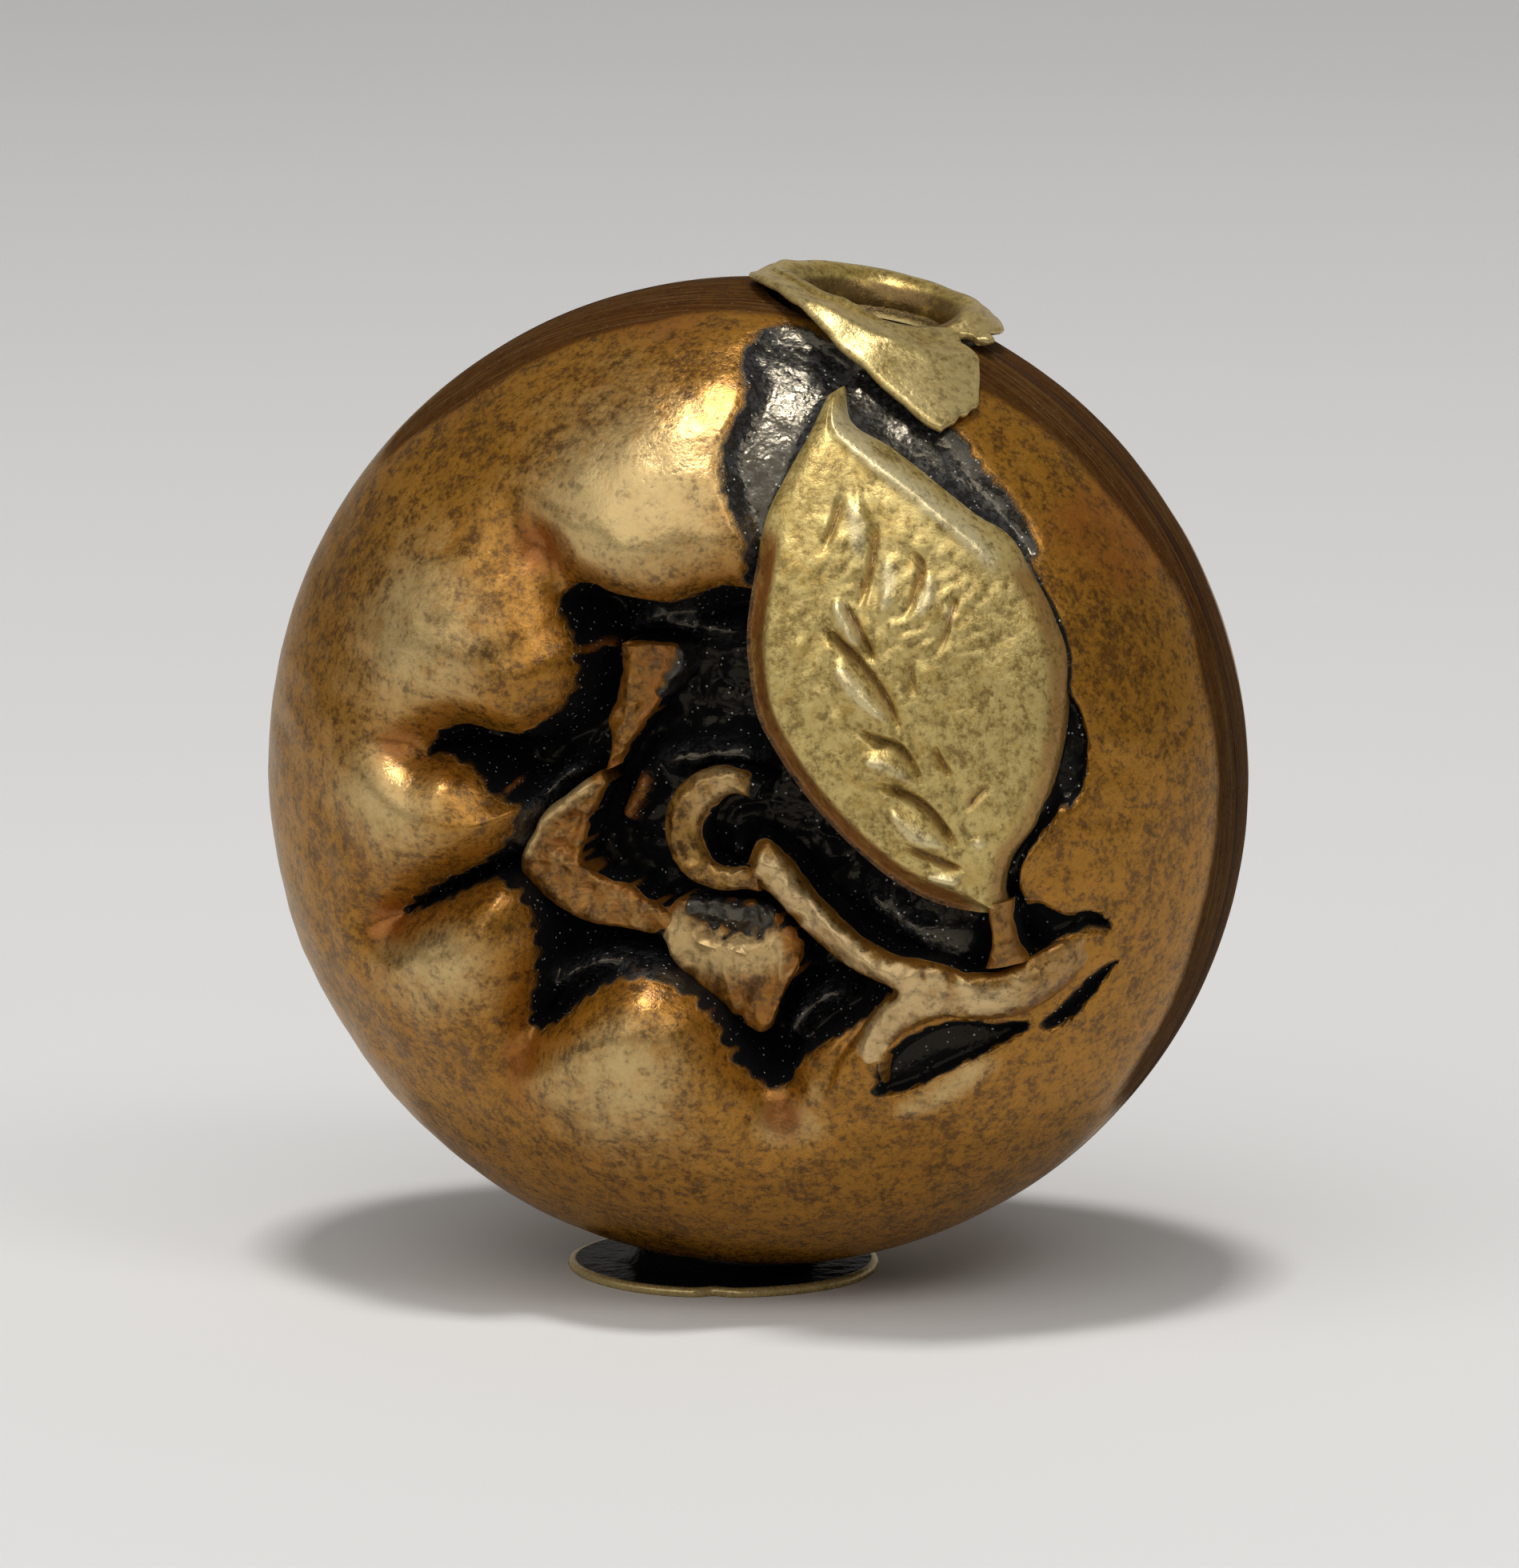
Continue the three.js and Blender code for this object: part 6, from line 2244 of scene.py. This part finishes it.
@dataclass
class OjimeBead:
    """The whole bead."""

    bench: Bench
    body: BeadBody
    frame: Mapping[str, Any]

    def build(self) -> None:
        """Builds every piece in order."""
        bench, nodes = self.bench, self.frame["nodes"]
        bore, face = Bore(self.body), FaceForm(self.body)
        leaf = LeafBlade(body=self.body)
        rims = (
            bench.reach(nodes["lower_eyelet"], DOWN),
            bench.reach(nodes["upper_eyelet"], bore.head_normal),
        )
        pieces: list[BeadPiece] = [
            FrontShell(bore=bore, face=face, leaf=leaf.outline),
            BackShell(bore=bore),
            *(SeamSolder(bore=bore, side=side) for side in Side),
            CordTube(bore=bore, rims=rims),
            UpperEyelet(bore=bore, rim=rims[1]),
            LowerEyelet(bore=bore, rim=rims[0]),
            *self.sepals(face),
            StalkRing(face=face),
            Twig(face=face),
            LeafStalk(face=face),
            leaf,
        ]
        materials = {finish.metal: finish.material() for finish in FINISHES}
        for piece in pieces:
            piece.build(bench, materials[piece.metal])

    def sepals(self, face: FaceForm) -> list[CalyxSepal]:
        """The calyx's three sepals."""
        # The left sepal's outer fold: a ridge, and as wear a painted highlight along it.
        left_fold_highlight = Stroke(
            ((-1.5, 0.65), (-2.05, 0.22), (-2.5, -0.15), (-2.85, -0.85)),
            0.15, 0.22, 0.1,
        )
        return [
            CalyxSepal(
                node="calyx_sepal_upper",
                face=face,
                rise=1.3,
                rough=Unevenness(62, 0.45, 0.012),
                rails=(
                    (-1.16, 2.94, -0.98, 3.02), (-1.16, 2.82, -0.1, 2.95), (-1.17, 2.4, 0.02, 2.66),
                    (-1.28, 1.95, -0.16, 2.36), (-1.4, 1.62, -0.45, 1.98),
                    (-1.33, 1.3, -0.72, 1.58), (-1.36, 1.0, -0.98, 1.22), (-1.46, 0.74, -1.12, 0.9),
                ),
                strokes=(
                    Stroke(((-1.05, 2.7), (-0.9, 2.1), (-1.05, 1.5), (-1.2, 1.0)), 0.16, 0.1),
                    Stroke(((-0.3, 2.7), (-0.55, 2.2), (-0.85, 1.6)), 0.1, -0.08),
                ),
                dark=(Stroke(((0.1, 2.95), (-0.1, 2.5), (-0.4, 2.0)), 0.22, 0.8, 0.1),),
            ),
            CalyxSepal(
                node="calyx_sepal_left",
                face=face,
                rise=1.42,
                lean=-0.1,
                worn=0.3,
                fold=(left_fold_highlight,),
                rough=Unevenness(63, 0.45, 0.012),
                rails=(
                    (-1.5, 0.78, -1.36, 0.55), (-1.78, 0.58, -1.5, 0.22),
                    (-2.1, 0.32, -1.66, -0.05), (-2.45, 0.05, -1.74, -0.4),
                    (-2.7, -0.4, -1.84, -0.72), (-2.96, -0.92, -1.72, -0.9),
                    (-2.75, -1.28, -1.5, -1.04), (-2.3, -1.62, -1.25, -1.1),
                    (-1.76, -1.88, -0.95, -1.2), (-1.18, -1.95, -0.72, -1.36),
                    (-0.66, -2.02, -0.45, -1.5), (-0.34, -2.12, -0.2, -1.62),
                ),
                strokes=(
                    left_fold_highlight,
                    Stroke(((-1.75, 0.1), (-2.0, -0.3), (-2.15, -0.8)), 0.15, -0.12, 0.2),
                    Stroke(((-2.5, -1.25), (-1.9, -1.6), (-1.2, -1.75)), 0.14, 0.07),
                    Stroke(((-2.2, -0.95), (-1.6, -1.3), (-1.0, -1.5)), 0.12, -0.06),
                ),
            ),
            CalyxSepal(
                node="calyx_sepal_lower",
                face=face,
                rise=1.38,
                worn=0.2,
                rough=Unevenness(64, 0.45, 0.012),
                rails=(
                    (-0.46, -2.02, -0.34, -1.5), (-0.24, -2.44, -0.06, -1.36),
                    (0.12, -2.85, 0.34, -1.34), (0.65, -3.21, 0.86, -1.34),
                    (1.0, -3.48, 1.35, -1.4), (1.32, -3.64, 1.78, -1.7), (1.52, -3.5, 2.04, -1.98),
                    (1.7, -3.0, 2.08, -2.2), (1.86, -2.72, 2.06, -2.4),
                ),
                strokes=(
                    Stroke(
                        ((0.1, -1.72), (0.6, -1.84), (1.1, -1.88), (1.65, -1.78)),
                        0.2, -0.2, 0.2,
                    ),
                    Stroke(((0.3, -1.6), (0.8, -1.7), (1.3, -1.62)), 0.06, 0.12, 0.3),
                    Stroke(((0.6, -1.9), (1.0, -1.82), (1.5, -1.95)), 0.05, 0.1, 0.3),
                    Stroke(((0.1, -2.05), (0.5, -2.12), (1.0, -2.2), (1.8, -2.02)), 0.09, 0.1, 0.2),
                    Stroke(((0.4, -2.5), (0.9, -2.6), (1.5, -2.4)), 0.15, 0.06, 0.3),
                    Stroke(((1.0, -3.3), (1.35, -2.9), (1.6, -2.5)), 0.1, 0.05, 0.3),
                ),
                dark=(
                    Stroke(
                        ((0.0, -1.42), (0.5, -1.55), (1.0, -1.64), (1.65, -1.62)),
                        0.33, 1.0, 0.1,
                    ),
                ),
                fold=(Stroke(((-0.4, -1.8), (0.4, -2.25), (1.9, -2.15)), 0.42, 1.0, 0.1),),
            ),
        ]


def main() -> None:
    """Builds the bead and its studio, and keeps its box beside the CAD model's."""
    logging.basicConfig(level=logging.INFO, format="%(message)s")
    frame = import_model()
    body = BeadBody()
    bench = Bench.by_front_shell(body)
    OjimeBead(bench, body, frame).build()
    Studio(bench.origin).build()
    LOG.info("%d pieces", len(bench.made))


if __name__ == "__main__":
    main()
